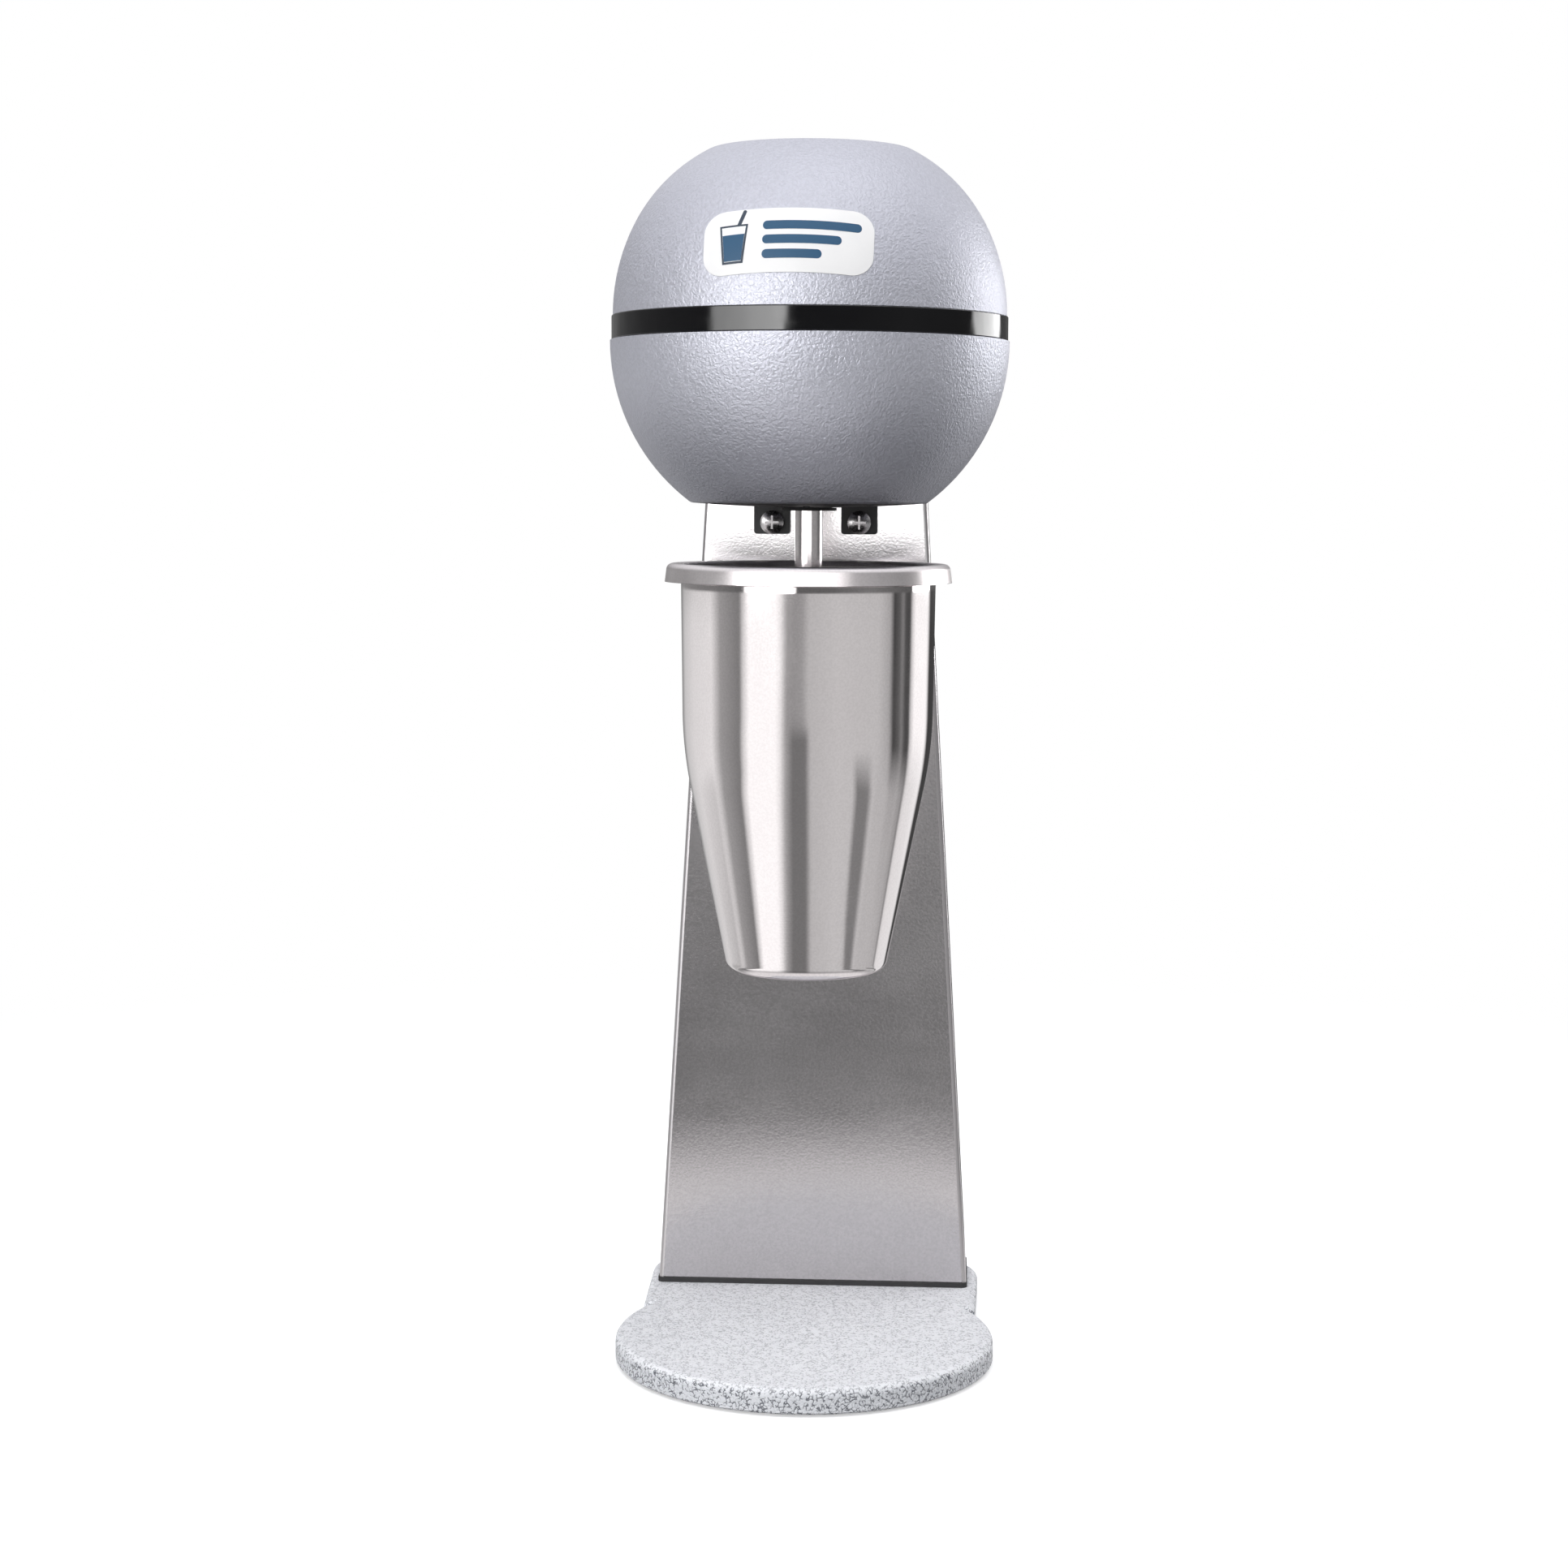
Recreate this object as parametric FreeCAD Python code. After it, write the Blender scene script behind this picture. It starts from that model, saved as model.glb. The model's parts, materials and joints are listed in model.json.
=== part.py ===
import FreeCAD, Part
import math
import os
from FreeCAD import Vector

# Single-spindle milkshake mixer, in millimetres. +X is to the right as the user
# stands in front, +Y is towards the back and +Z is up. The pieces are drawn about
# the spindle axis and then moved by ORIGIN_Y, so that the origin is under the
# middle of the whole object, on the surface it stands on.

# Base: a round disc under the cup with a neck behind it under the column.
BASE_R = 76.5
BASE_CENTRE_Y = 0.8
BASE_TOP = 11.0
BASE_UNDER = 1.0
BASE_FLOOR = 6.0
NECK_FRONT_HALF = 69.5
NECK_REAR_HALF = 71.8
NECK_FRONT_Y = 38.0
NECK_REAR_Y = 118.0
NECK_CORNER = 24.0
BASE_WALL = 6.0
FOOT_BOSS_R = 12.0
RIB_HALF = 2.0
RIB_UNDER = 2.5
FOOT_PLACES = [(-48, -38), (48, -38), (-54, 98), (54, 98)]
BOLT_PLACES = [(-34, 82), (34, 82), (-34, 102), (34, 102)]

# Column: a tapered sheet channel whose front leans forward a little.
GASKET = 1.8
COLUMN_FOOT = BASE_TOP + GASKET
COLUMN_TOP = 398.0
FOOT_HALF = 66.1
TOP_HALF = 43.1
FOOT_FRONT_Y = 69.0
TOP_FRONT_Y = 60.7
FOOT_BACK_Y = 112.0
TOP_BACK_Y = 93.5
COLUMN_CORNER = 2.0
SHARPEST_CORNER = 0.4
SHEET = 1.2
REAR_FLANGE = 8.0
COVER_THICK = 1.2
COVER_SCREW_ROWS = (40, 210, 380)
COVER_SCREW_INSET = 4.6
LEAD_X = (-20, 20)
LEAD_HOLE_Z = 387.0
SLOT_HALF = 4.4
SLOT_LOW = 295.6
SLOT_HEIGHT = 8.9

# Cord inlet and switch, on the rear cover.
GLAND_Z = 38.0
GLAND_R = 8.0
GLAND_BORE_R = 3.6
SWITCH_Z = 246.0
ROCKER_PIN_R = 1.0
ROCKER_DEPTH = 3.5
ROCKER_TILT = 8.0

# Head: two shells turned about the spindle axis with a band between them.
LOWER_R = 78.1
LOWER_CENTRE = 408.4
UPPER_R = 77.0
UPPER_CENTRE = 418.0
BAND_R = 77.5
CROWN_FROM = 452.0
CROWN_R = 66.0
HEAD_TOP = 482.2
UNDER_CORNER_Z = 345.6
UNDER_CENTRE_Z = 343.8
UNDER_HOLE_R = 34.0
SHELL = 2.0
LIP_R = BAND_R - SHELL - 0.6
SHELL_SCREW_R = 40.5
SHELL_SCREW_ANGLES = (35, 145, 215, 325)
LABEL_TURN_LEFT = 4.0
LABEL_TILT_UP = 18.0
LABEL_SIZE = (63.0, 25.0)
LABEL_CORNER = 8.0
LABEL_THICK = 0.35

# Cup, hanging by its turned-down rim.
CUP_BOTTOM = 160.0
CUP_TOP = 321.8
CUP_WALL = 0.8
CUP_CONE_FOOT_R, CUP_CONE_FOOT_Z = 32.6, 164.6
CUP_CONE_TOP_R, CUP_CONE_TOP_Z = 46.3, 233.0
HANGER_TRAVEL = 1.5
HANGER_HALF = 20.0
HANGER_SCREWS = [(-11, 285), (11, 285)]
HOOK_IN, HOOK_OUT = 52.2, 53.6
HOOK_TOP = 320.45
GUIDE_Y = 73.0
GUIDE_R = 2.0
REST_LOW, REST_HIGH = 165.0, 179.0
REST_SCREWS = [(-11.6, 172), (11.6, 172)]

# Drive.
SPINDLE_R = 5.5
SHAFT_R = 4.0
BORE_GAP = 0.08
CORE_BOTTOM = 392.0
CORE_TOP = 424.0
LOWER_BEARING = 353.0
UPPER_BEARING = 447.0
BEARING_WIDTH = 7.0
BRACKET_Z = 357.0
CHASSIS_Z = 347.8
CHASSIS_THICK = 3.0
EAR_X = 18.1
EAR_WIDTH = 15.0
EAR_BOTTOM = 332.5
EAR_SCREW_Z = 337.3
EAR_CORNER = 1.2
HEAD_SCREWS = [(-8, 386), (8, 386)]
MOTOR_TIES = [(-8, 45.5), (8, 45.5)]
ISOLATOR_R = 38.0
ISOLATOR_ANGLES = (20, 160, 270)
THROUGH_PLACES = [(x, y) for x in (-29, 29) for y in (-31, 31)]
BRUSH_Z = 375.0
COMMUTATOR_R = 12.0
AGITATOR_Z = 180.0
SLOT_CIRCLE_R = 17.0

ORIGIN_Y = -(NECK_REAR_Y - LOWER_R) / 2
UP = Vector(0, 0, 1)


def save(name, shape):
    moved = shape.copy()
    moved.translate(Vector(0, ORIGIN_Y, 0))
    moved.exportStep("parts/" + name + ".step")


def group(shapes):
    return Part.makeCompound(list(shapes))


def polar(radius, degrees):
    angle = math.radians(degrees)
    return radius * math.cos(angle), radius * math.sin(angle)


def block(x0, x1, y0, y1, z0, z1):
    return Part.makeBox(x1 - x0, y1 - y0, z1 - z0, Vector(x0, y0, z0))


def rod(radius, z0, z1, x=0, y=0):
    return Part.makeCylinder(radius, z1 - z0, Vector(x, y, z0))


def rod_y(radius, y0, y1, x, z):
    return Part.makeCylinder(radius, y1 - y0, Vector(x, y0, z), Vector(0, 1, 0))


def ring(outer, inner, z0, z1, x=0, y=0):
    return rod(outer, z0, z1, x, y).cut(rod(inner, z0 - 1, z1 + 1, x, y))


def turned(start, *steps):
    """Solid turned about Z. A step is an end point (r, z), or the middle and end of an arc."""
    edges = []
    here = Vector(start[0], 0, start[1])
    for step in steps + (start,):
        if isinstance(step[0], tuple):
            middle, end = [Vector(r, 0, z) for r, z in step]
            edges.append(Part.Arc(here, middle, end).toShape())
        else:
            end = Vector(step[0], 0, step[1])
            edges.append(Part.makeLine(here, end))
        here = end
    return Part.Face(Part.Wire(edges)).revolve(Vector(0, 0, 0), UP, 360)


def dome(radius, edge_z, crown_z, start_at_edge=True):
    """Middle and end of the arc between a rim and the crown of a dome centred on the axis."""
    rise = crown_z - edge_z
    curve = (radius ** 2 + rise ** 2) / (2 * abs(rise))
    way = math.copysign(1, rise)
    middle = (radius / 2, crown_z - way * (curve - math.sqrt(curve ** 2 - radius ** 2 / 4)))
    return middle, ((0, crown_z) if start_at_edge else (radius, edge_z))


def outline(points, z, height):
    """Prism of a closed outline of (x, y) points, standing on z."""
    corners = [Vector(x, y, z) for x, y in points]
    face = Part.Face(Part.makePolygon(corners + corners[:1]))
    return face.extrude(Vector(0, 0, height))


def hexagon(across_flats, z0, z1, x=0, y=0):
    radius = across_flats / math.sqrt(3)
    turns = [math.radians(60 * k) for k in range(6)]
    return outline([(x + radius * math.cos(a), y + radius * math.sin(a)) for a in turns], z0, z1 - z0)


def upright_edges(shape):
    """Edges whose ends lie one above the other."""
    found = []
    for edge in shape.Edges:
        span = edge.Vertexes[-1].Point - edge.Vertexes[0].Point
        if abs(span.z) > 0.5 and math.hypot(span.x, span.y) < 0.4 * abs(span.z):
            found.append(edge)
    return found


def edges_at(shape, z):
    """Edges that lie wholly at one height."""
    return [edge for edge in shape.Edges
            if abs(edge.BoundBox.ZMin - z) < 0.01 and abs(edge.BoundBox.ZMax - z) < 0.01]


def pan_screw(head_r, head_height, shank_r, length, cross=0.0):
    """Screw along +Z with the underside of its domed head at z = 0 and its shank above."""
    crown = 0.45 * head_height
    head = turned((0, 0), (head_r, 0), (head_r, crown - head_height),
                  dome(head_r, crown - head_height, -head_height))
    screw = head.fuse(rod(shank_r, 0, length))
    if cross:
        for wide, deep in ((cross, 0.16 * cross), (0.16 * cross, cross)):
            screw = screw.cut(block(-wide / 2, wide / 2, -deep / 2, deep / 2, -head_height - 1,
                                    -0.45 * head_height))
    return screw


def aimed(shape, place, direction):
    """Turn a shape drawn along +Z towards a direction and put its origin at a place."""
    turn = FreeCAD.Rotation(UP, Vector(*direction))
    return shape.transformed(FreeCAD.Placement(Vector(*place), turn).toMatrix())


# Column outline: every side runs straight from the foot section to the top section.

def at_height(z, foot_value, top_value):
    return foot_value + (top_value - foot_value) * (z - COLUMN_FOOT) / (COLUMN_TOP - COLUMN_FOOT)


def column_half(z):
    return at_height(z, FOOT_HALF, TOP_HALF)


def column_front(z):
    return at_height(z, FOOT_FRONT_Y, TOP_FRONT_Y)


def column_back(z):
    return at_height(z, FOOT_BACK_Y, TOP_BACK_Y)


def rounded_wire(half, front, back, corner, z):
    """Rectangle with rounded corners, as a wire at height z."""
    bend = corner * (1 - math.sqrt(0.5))
    corners = [(half, front, 1, -1), (half, back, 1, 1), (-half, back, -1, 1), (-half, front, -1, -1)]
    arcs = []
    for x, y, side, end in corners:
        along_x = Vector(x - side * corner, y, z)
        along_y = Vector(x, y - end * corner, z)
        middle = Vector(x - side * bend, y - end * bend, z)
        first, last = (along_x, along_y) if side == -end else (along_y, along_x)
        arcs.append((first, middle, last))
    edges = []
    for number, (first, middle, last) in enumerate(arcs):
        edges.append(Part.Arc(first, middle, last).toShape())
        edges.append(Part.makeLine(last, arcs[(number + 1) % 4][0]))
    return Part.Wire(edges)


def column_solid(grow, z0, z1):
    """Column's outer outline from z0 to z1, grown on every side."""
    wires = [rounded_wire(column_half(z) + grow, column_front(z) - grow, column_back(z) + grow,
                          max(COLUMN_CORNER + grow, SHARPEST_CORNER), z) for z in (z0, z1)]
    return Part.makeLoft(wires, True, True)


# Base.

def base_outline(inset, z0, z1):
    """Disc and neck, drawn in by inset."""
    disc = rod(BASE_R - inset, z0, z1, 0, BASE_CENTRE_Y)
    front = NECK_FRONT_HALF - inset
    rear = NECK_REAR_HALF - inset
    back = NECK_REAR_Y - inset
    neck = outline([(-front, NECK_FRONT_Y), (front, NECK_FRONT_Y), (rear, back), (-rear, back)], z0, z1 - z0)
    rear_edges = [edge for edge in neck.Edges
                  if edge.BoundBox.YMin > back - 0.01 and edge.BoundBox.ZLength > 1]
    neck = neck.makeFillet(NECK_CORNER - inset, rear_edges)
    return disc.fuse(neck).removeSplitter()


def base_casting():
    """Casting with a ribbed hollow underneath and a boss round every foot."""
    top_edge = 3.2
    bottom_edge = 0.8
    body = base_outline(0, BASE_UNDER, BASE_TOP)
    body = body.makeFillet(top_edge, edges_at(body, BASE_TOP))
    body = body.makeChamfer(bottom_edge, edges_at(body, BASE_UNDER))
    hollow = base_outline(BASE_WALL, BASE_UNDER - 1, BASE_FLOOR)
    for x, y in FOOT_PLACES:
        hollow = hollow.cut(rod(FOOT_BOSS_R, 0, BASE_TOP, x, y))
    for x in (-22, 22):
        hollow = hollow.cut(block(x - RIB_HALF, x + RIB_HALF, -80, 120, RIB_UNDER, BASE_TOP))
    for y in (-12, 42):
        hollow = hollow.cut(block(-80, 80, y - RIB_HALF, y + RIB_HALF, RIB_UNDER, BASE_TOP))
    body = body.cut(hollow)
    for x, y in FOOT_PLACES:
        body = body.cut(rod(9.1, 0, 5.0, x, y)).cut(rod(2.0, 0, 9.4, x, y))
    for x, y in BOLT_PLACES:
        body = body.cut(rod(3.3, 0, 12, x, y))
    return body


def rubber_feet():
    feet = []
    for x, y in FOOT_PLACES:
        foot = rod(9.0, 0, 5.0, x, y)
        foot = foot.makeFillet(1.0, edges_at(foot, 0))
        feet.append(foot.cut(rod(4.2, -1, 3.4, x, y)).cut(rod(2.2, 0, 6, x, y)))
    return group(feet)


def foot_screws():
    screw = pan_screw(3.8, 2.2, 2.0, 5.8, 4.4)
    return group(aimed(screw, (x, y, 3.4), (0, 0, 1)) for x, y in FOOT_PLACES)


def column_bolts():
    """Flanged bolts from under the base."""
    bolts = []
    for x, y in BOLT_PLACES:
        head = hexagon(10, 1.8, 5.2, x, y).fuse(rod(6.4, 4.8, BASE_FLOOR, x, y))
        bolts.append(head.fuse(rod(3.0, 5.2, 18.6, x, y)))
    return group(bolts)


def column_gasket():
    """Rubber frame under the column, which shows a little more at the front than at the sides."""
    front_lap = 1.2
    side_lap = 0.4
    plan = [(FOOT_HALF + side_lap, FOOT_FRONT_Y - front_lap, FOOT_BACK_Y + side_lap, COLUMN_CORNER + side_lap),
            (57.0, 76.0, 105.0, 3.0)]
    faces = [Part.Face(rounded_wire(half, front, back, corner, BASE_TOP)) for half, front, back, corner in plan]
    gasket = faces[0].cut(faces[1]).extrude(Vector(0, 0, GASKET))
    for x, y in BOLT_PLACES:
        gasket = gasket.cut(rod(3.3, 10, 14, x, y))
    return gasket


def column_foot_plate():
    """Steel plate inside the foot of the column that the base bolts thread into."""
    inner = column_solid(-SHEET, COLUMN_FOOT, COLUMN_FOOT + 4)
    plate = inner.cut(block(-24, 24, 84, 98, 0, 30))
    for x, y in BOLT_PLACES:
        plate = plate.cut(rod(3.0, 10, 20, x, y))
    return plate


# Column.

def cover_screws():
    return [(side * (column_half(z) - COVER_SCREW_INSET), z) for z in COVER_SCREW_ROWS for side in (-1, 1)]


def rear_opening(z):
    """Outline of the channel's open back, between its two flanges."""
    half = column_half(z) - REAR_FLANGE
    near, far = column_back(z) - 6, column_back(z) + 6
    corners = [(-half, near), (half, near), (half, far), (-half, far), (-half, near)]
    return Part.makePolygon([Vector(x, y, z) for x, y in corners])


def column_channel():
    """Folded sheet with an open back, a slot for the hanger and holes for what it carries."""
    shell = column_solid(0, COLUMN_FOOT, COLUMN_TOP)
    shell = shell.cut(column_solid(-SHEET, COLUMN_FOOT - 2, COLUMN_TOP + 2))
    opening = [rear_opening(z) for z in (COLUMN_FOOT + 10, COLUMN_TOP - 10)]
    shell = shell.cut(Part.makeLoft(opening, True, True))
    slot_top = SLOT_LOW + SLOT_HEIGHT + HANGER_TRAVEL
    shell = shell.cut(block(-SLOT_HALF, SLOT_HALF, 55, 72, SLOT_LOW, slot_top))
    holes = [(x, z, 2.1) for x, z in HANGER_SCREWS + REST_SCREWS + HEAD_SCREWS]
    holes += [(side * EAR_X, EAR_SCREW_Z, 2.6) for side in (-1, 1)]
    holes += [(x, LEAD_HOLE_Z, 4.0) for x in LEAD_X]
    for x, z, radius in holes:
        shell = shell.cut(rod_y(radius, 50, 75, x, z))
    for x, z in cover_screws():
        shell = shell.cut(rod_y(1.6, 85, 120, x, z))
    return shell


def column_rear_cover():
    """Flat sheet over the open back, with cooling slots near its top."""
    def section(z):
        half = column_half(z) - 1.4
        return Part.makePolygon([Vector(x, column_back(z) + out, z) for x, out in (
            (-half, 0), (half, 0), (half, COVER_THICK), (-half, COVER_THICK), (-half, 0))])
    cover = Part.makeLoft([section(COLUMN_FOOT + 2), section(COLUMN_TOP - 3)], True, True)
    for x, z in cover_screws():
        cover = cover.cut(rod_y(1.7, 85, 120, x, z))
    cover = cover.cut(rod_y(GLAND_R + 0.2, 90, 125, 0, GLAND_Z))
    cover = cover.cut(block(-10.6, 10.6, 85, 120, SWITCH_Z - 7.1, SWITCH_Z + 7.1))
    first_slot, slot_pitch, slot_height = 352, 6, 2.4
    for level in range(6):
        z = first_slot + slot_pitch * level
        cover = cover.cut(block(-20, 20, 85, 120, z, z + slot_height))
    return cover


def rear_cover_screws():
    screw = pan_screw(3.0, 1.9, 1.5, 5.0, 3.4)
    return group(aimed(screw, (x, column_back(z) + COVER_THICK + 0.15, z), (0, -1, 0))
                 for x, z in cover_screws())


def column_top_cap():
    """Cap that closes the column behind the head and falls away towards the back."""
    crown = LOWER_CENTRE - 0.2
    cap = column_solid(0, COLUMN_TOP, crown)
    slope_from_y, slope_degrees = 80, 30
    slope = block(-60, 60, 0, 60, 0, 40)
    slope.rotate(Vector(0, 0, 0), Vector(1, 0, 0), -slope_degrees)
    slope.translate(Vector(0, slope_from_y, crown))
    cap = cap.cut(slope)
    plug = column_solid(-SHEET - 0.2, COLUMN_TOP - 6, COLUMN_TOP + 0.5)
    plug = plug.cut(column_solid(-SHEET - 2.2, COLUMN_TOP - 7, COLUMN_TOP + 2))
    return cap.fuse(plug)


def behind_cover(z):
    """Space inside the outer face of the rear cover, around height z."""
    return column_solid(COVER_THICK + 0.02, z - 20, z + 20)


def cord_gland():
    """Screwed cord inlet with an open bore for the mains lead."""
    face = column_back(GLAND_Z) + COVER_THICK
    flange = rod_y(10.5, face - 2, face + 1.6, 0, GLAND_Z).cut(behind_cover(GLAND_Z))
    body = rod_y(GLAND_R, face - 11, face + 1, 0, GLAND_Z).fuse(flange)
    nose = aimed(turned((0, 0), (8.6, 0), (8.6, 1.6), ((7.9, 3.2), (6.2, 3.9)), (0, 3.9)),
                 (0, face + 1.6, GLAND_Z), (0, 1, 0))
    return body.fuse(nose).cut(rod_y(GLAND_BORE_R, face - 20, face + 20, 0, GLAND_Z))


def gland_locknut():
    face = column_back(GLAND_Z)
    nut = aimed(hexagon(20, 0, 4), (0, face - 4.6, GLAND_Z), (0, 1, 0))
    return nut.cut(rod_y(GLAND_R, face - 20, face, 0, GLAND_Z))


def switch_housing():
    """Snap-in switch body with a bezel that lies on the rear cover."""
    face = column_back(SWITCH_Z) + COVER_THICK
    shell = block(-10.5, 10.5, face - 17, face, SWITCH_Z - 7, SWITCH_Z + 7)
    bezel = block(-12.5, 12.5, face - 1, face + 2.1, SWITCH_Z - 9, SWITCH_Z + 9)
    bezel = bezel.makeFillet(1.4, [edge for edge in bezel.Edges if edge.BoundBox.YLength > 1])
    bezel = bezel.cut(behind_cover(SWITCH_Z))
    shell = shell.fuse(block(-10.5, 10.5, face - 1, face + 1, SWITCH_Z - 7, SWITCH_Z + 7)).fuse(bezel)
    shell = shell.cut(block(-8.8, 8.8, face - 9, face + 5, SWITCH_Z - 5.8, SWITCH_Z + 5.8))
    return shell.cut(rod(ROCKER_PIN_R + BORE_GAP, SWITCH_Z - 6.6, SWITCH_Z + 6.6, 0, face - ROCKER_DEPTH))


def switch_rocker():
    """Rocker that tips about an upright pin, drawn pressed to its off side."""
    pivot_y = column_back(SWITCH_Z) + COVER_THICK - ROCKER_DEPTH
    paddle = [(-7.4, 5.0), (0, 2.9), (7.4, 5.0), (6.4, 0.3), (0, -2.5), (-6.4, 0.3)]
    rocker = outline(paddle, -5.4, 10.8)
    rocker = rocker.makeFillet(0.6, upright_edges(rocker)).fuse(rod(ROCKER_PIN_R, -6.5, 6.5))
    rocker.rotate(Vector(0, 0, 0), UP, -ROCKER_TILT)
    rocker.translate(Vector(0, pivot_y, SWITCH_Z))
    return rocker


def terminal_block():
    """Three ways of screwless terminals on a plate inside the column's front."""
    blocks = []
    for level in range(3):
        z = 66 + 9.5 * level
        body = block(-14, 14, column_front(z) + SHEET + 1.2, column_front(z) + SHEET + 13, z, z + 8.5)
        for x in (-8, 8):
            body = body.cut(rod_y(2.0, 60, 120, x, z + 4.25))
        blocks.append(body)
    back = block(-18, 18, 60, 80, 60, 98).common(column_solid(-SHEET, 60, 98))
    front_trim = block(-18, 18, column_front(60) + SHEET + 1.2, 90, 60, 98)
    return group(blocks + [back.cut(front_trim)])


def lead(points, radius):
    """Insulated wire: straight runs joined by tangent arcs, each as large as its runs allow."""
    places = [Vector(*point) for point in points]
    edges = []
    here = places[0]
    for before, corner, after in zip(places, places[1:], places[2:]):
        back = (before - corner).normalize()
        onward = (after - corner).normalize()
        half_turn = (math.pi - back.getAngle(onward)) / 2
        reach = 0.45 * min((before - corner).Length, (after - corner).Length)
        bend = reach / math.tan(half_turn)
        start = corner + back * reach
        end = corner + onward * reach
        centre = corner + (back + onward).normalize() * (bend / math.cos(half_turn))
        middle = centre + (corner - centre).normalize() * bend
        edges.append(Part.makeLine(here, start))
        edges.append(Part.Arc(start, middle, end).toShape())
        here = end
    edges.append(Part.makeLine(here, places[-1]))
    path = Part.Wire(edges)
    along = places[1] - places[0]
    section = Part.Wire(Part.makeCircle(radius, places[0], along))
    wire = path.makePipeShell([section], True, False)
    expected = math.pi * radius * radius * path.Length
    print("lead volume against section times length: %.3f" % (wire.Volume / expected))
    return wire


def internal_leads():
    """Motor leads up the column into the head, and the lead down to the microswitch."""
    leads = []
    for side in (-1, 1):
        way = [(8, 76, 93.9), (14, 80, 130), (22, 82, 190), (24, 80, 260), (24, 78, 330), (20, 78, 366),
               (20, 74, LEAD_HOLE_Z), (20, 29.1, LEAD_HOLE_Z)]
        leads.append(lead([(side * x, y, z) for x, y, z in way], 1.2))
    leads.append(lead([(0, 76, 93.9), (0, 80, 150), (2, 78, 200), (0, 80, 250), (0, 84.5, 268),
                       (0, 84.5, 282.9)], 1.0))
    return group(leads)


def lead_grommets():
    rings = []
    for x in LEAD_X:
        face = column_front(LEAD_HOLE_Z)
        body = rod_y(3.9, face - 1.2, face + SHEET + 1.2, x, LEAD_HOLE_Z)
        body = body.fuse(rod_y(5.6, face - 1.6, face - 0.15, x, LEAD_HOLE_Z))
        rings.append(body.cut(rod_y(1.3, 50, 80, x, LEAD_HOLE_Z)))
    return group(rings)


# Cup support.

def cup_hanger():
    """Plate behind the cup with a hook inside the rim, and a tab through the column's slot."""
    below_rim = 309.0
    face = 62.2
    half = HANGER_HALF
    hook = ring(HOOK_OUT, HOOK_IN, below_rim - 2, HOOK_TOP).common(block(-half, half, 20, 70, 300, 330))
    shelf = block(-half, half, 40, face, below_rim - 2, below_rim).cut(rod(HOOK_IN, 300, 320))
    plate = block(-half, half, face - 2, face, 288, below_rim)
    bottom_corners = [edge for edge in plate.Edges if edge.BoundBox.YLength > 1 and edge.BoundBox.ZMax < 289]
    plate = plate.makeFillet(5.0, bottom_corners)
    neck = block(-4, 4, 62, 68, 296, 304)
    tab = block(-7, 7, 67, 89, 298, 301).cut(rod(GUIDE_R + 0.06, 290, 310, 0, GUIDE_Y))
    return hook.fuse(shelf).fuse(plate).fuse(neck).fuse(tab).removeSplitter()


def hanger_bracket():
    """Pressed bracket inside the column that holds the guide rod and the microswitch."""
    web = block(-15, 15, 60, 66.6, 276, 317).common(column_solid(-SHEET, 276, 317))
    web = web.cut(block(-7.4, 7.4, 60, 70, 295, 307))
    low = block(-10, 10, 66, 81, 276, 278.5)
    high = block(-10, 10, 66, 80, 314.5, 317)
    tab = block(-10, 10, 79, 81, 276, 294)
    bracket = web.fuse(low).fuse(high).fuse(tab).cut(rod(GUIDE_R, 270, 320, 0, GUIDE_Y))
    for x, z in HANGER_SCREWS:
        bracket = bracket.cut(rod_y(1.5, 60, 75, x, z))
    for x in (-6, 6):
        bracket = bracket.cut(rod_y(1.0, 75, 85, x, 288))
    return bracket.removeSplitter()


def hanger_guide_rod():
    return rod(GUIDE_R, 275.5, 317.5, 0, GUIDE_Y)


def coil_spring(mean_r, wire_r, turns, z0, z1, x, y):
    height = z1 - z0 - 2 * wire_r
    helix = Part.makeHelix(height / turns, height, mean_r)
    start = Vector(mean_r, 0, 0)
    tangent = Vector(0, mean_r * 2 * math.pi, height / turns)
    section = Part.Wire(Part.makeCircle(wire_r, start, tangent))
    spring = Part.Wire(helix.Edges).makePipeShell([section], True, True)
    spring.translate(Vector(x, y, z0 + wire_r))
    return spring


def cup_support_screws():
    """Screws that hold the hanger's bracket and the cup rest to the column."""
    small = pan_screw(3.0, 1.4, 1.5, 6.0, 3.2)
    screws = [aimed(small, (x, column_front(z) - 0.08, z), (0, 1, 0)) for x, z in HANGER_SCREWS]
    large = pan_screw(3.4, 2.0, 2.0, 7.0, 3.6)
    face = column_front(REST_LOW) - 2.7
    return group(screws + [aimed(large, (x, face, z), (0, 1, 0)) for x, z in REST_SCREWS])


def microswitch_body():
    body = block(-10, 10, 81, 88, 283, 294.5)
    for x in (-6, 6):
        body = body.cut(rod_y(1.05, 80, 90, x, 288))
    return body.cut(rod(1.6, 290, 300, 0, 84.5))


def microswitch_plunger():
    return rod(1.4, 291, 297.9, 0, 84.5)


def microswitch_screws():
    screw = pan_screw(1.9, 1.2, 1.0, 9.2)
    return group(aimed(screw, (x, 88, 288), (0, -1, 0)) for x in (-6, 6))


def cup_rest():
    """Bent strip that reaches from the column to the back of the cup's lower wall."""
    arm_end = 39.6
    face = column_front(REST_LOW) - 0.05
    arm = block(-8, 8, arm_end, face, 171, 173.2)
    foot = block(-16, 16, face - 2.6, face + 1, REST_LOW, REST_HIGH)
    head = block(-12, 12, arm_end - 2, arm_end, 167, 177)
    strip = arm.fuse(foot).fuse(head).removeSplitter().cut(column_solid(0.02, REST_LOW - 5, REST_HIGH + 5))
    for x, z in REST_SCREWS:
        strip = strip.cut(rod_y(2.1, 50, 75, x, z))
    return strip


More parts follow.
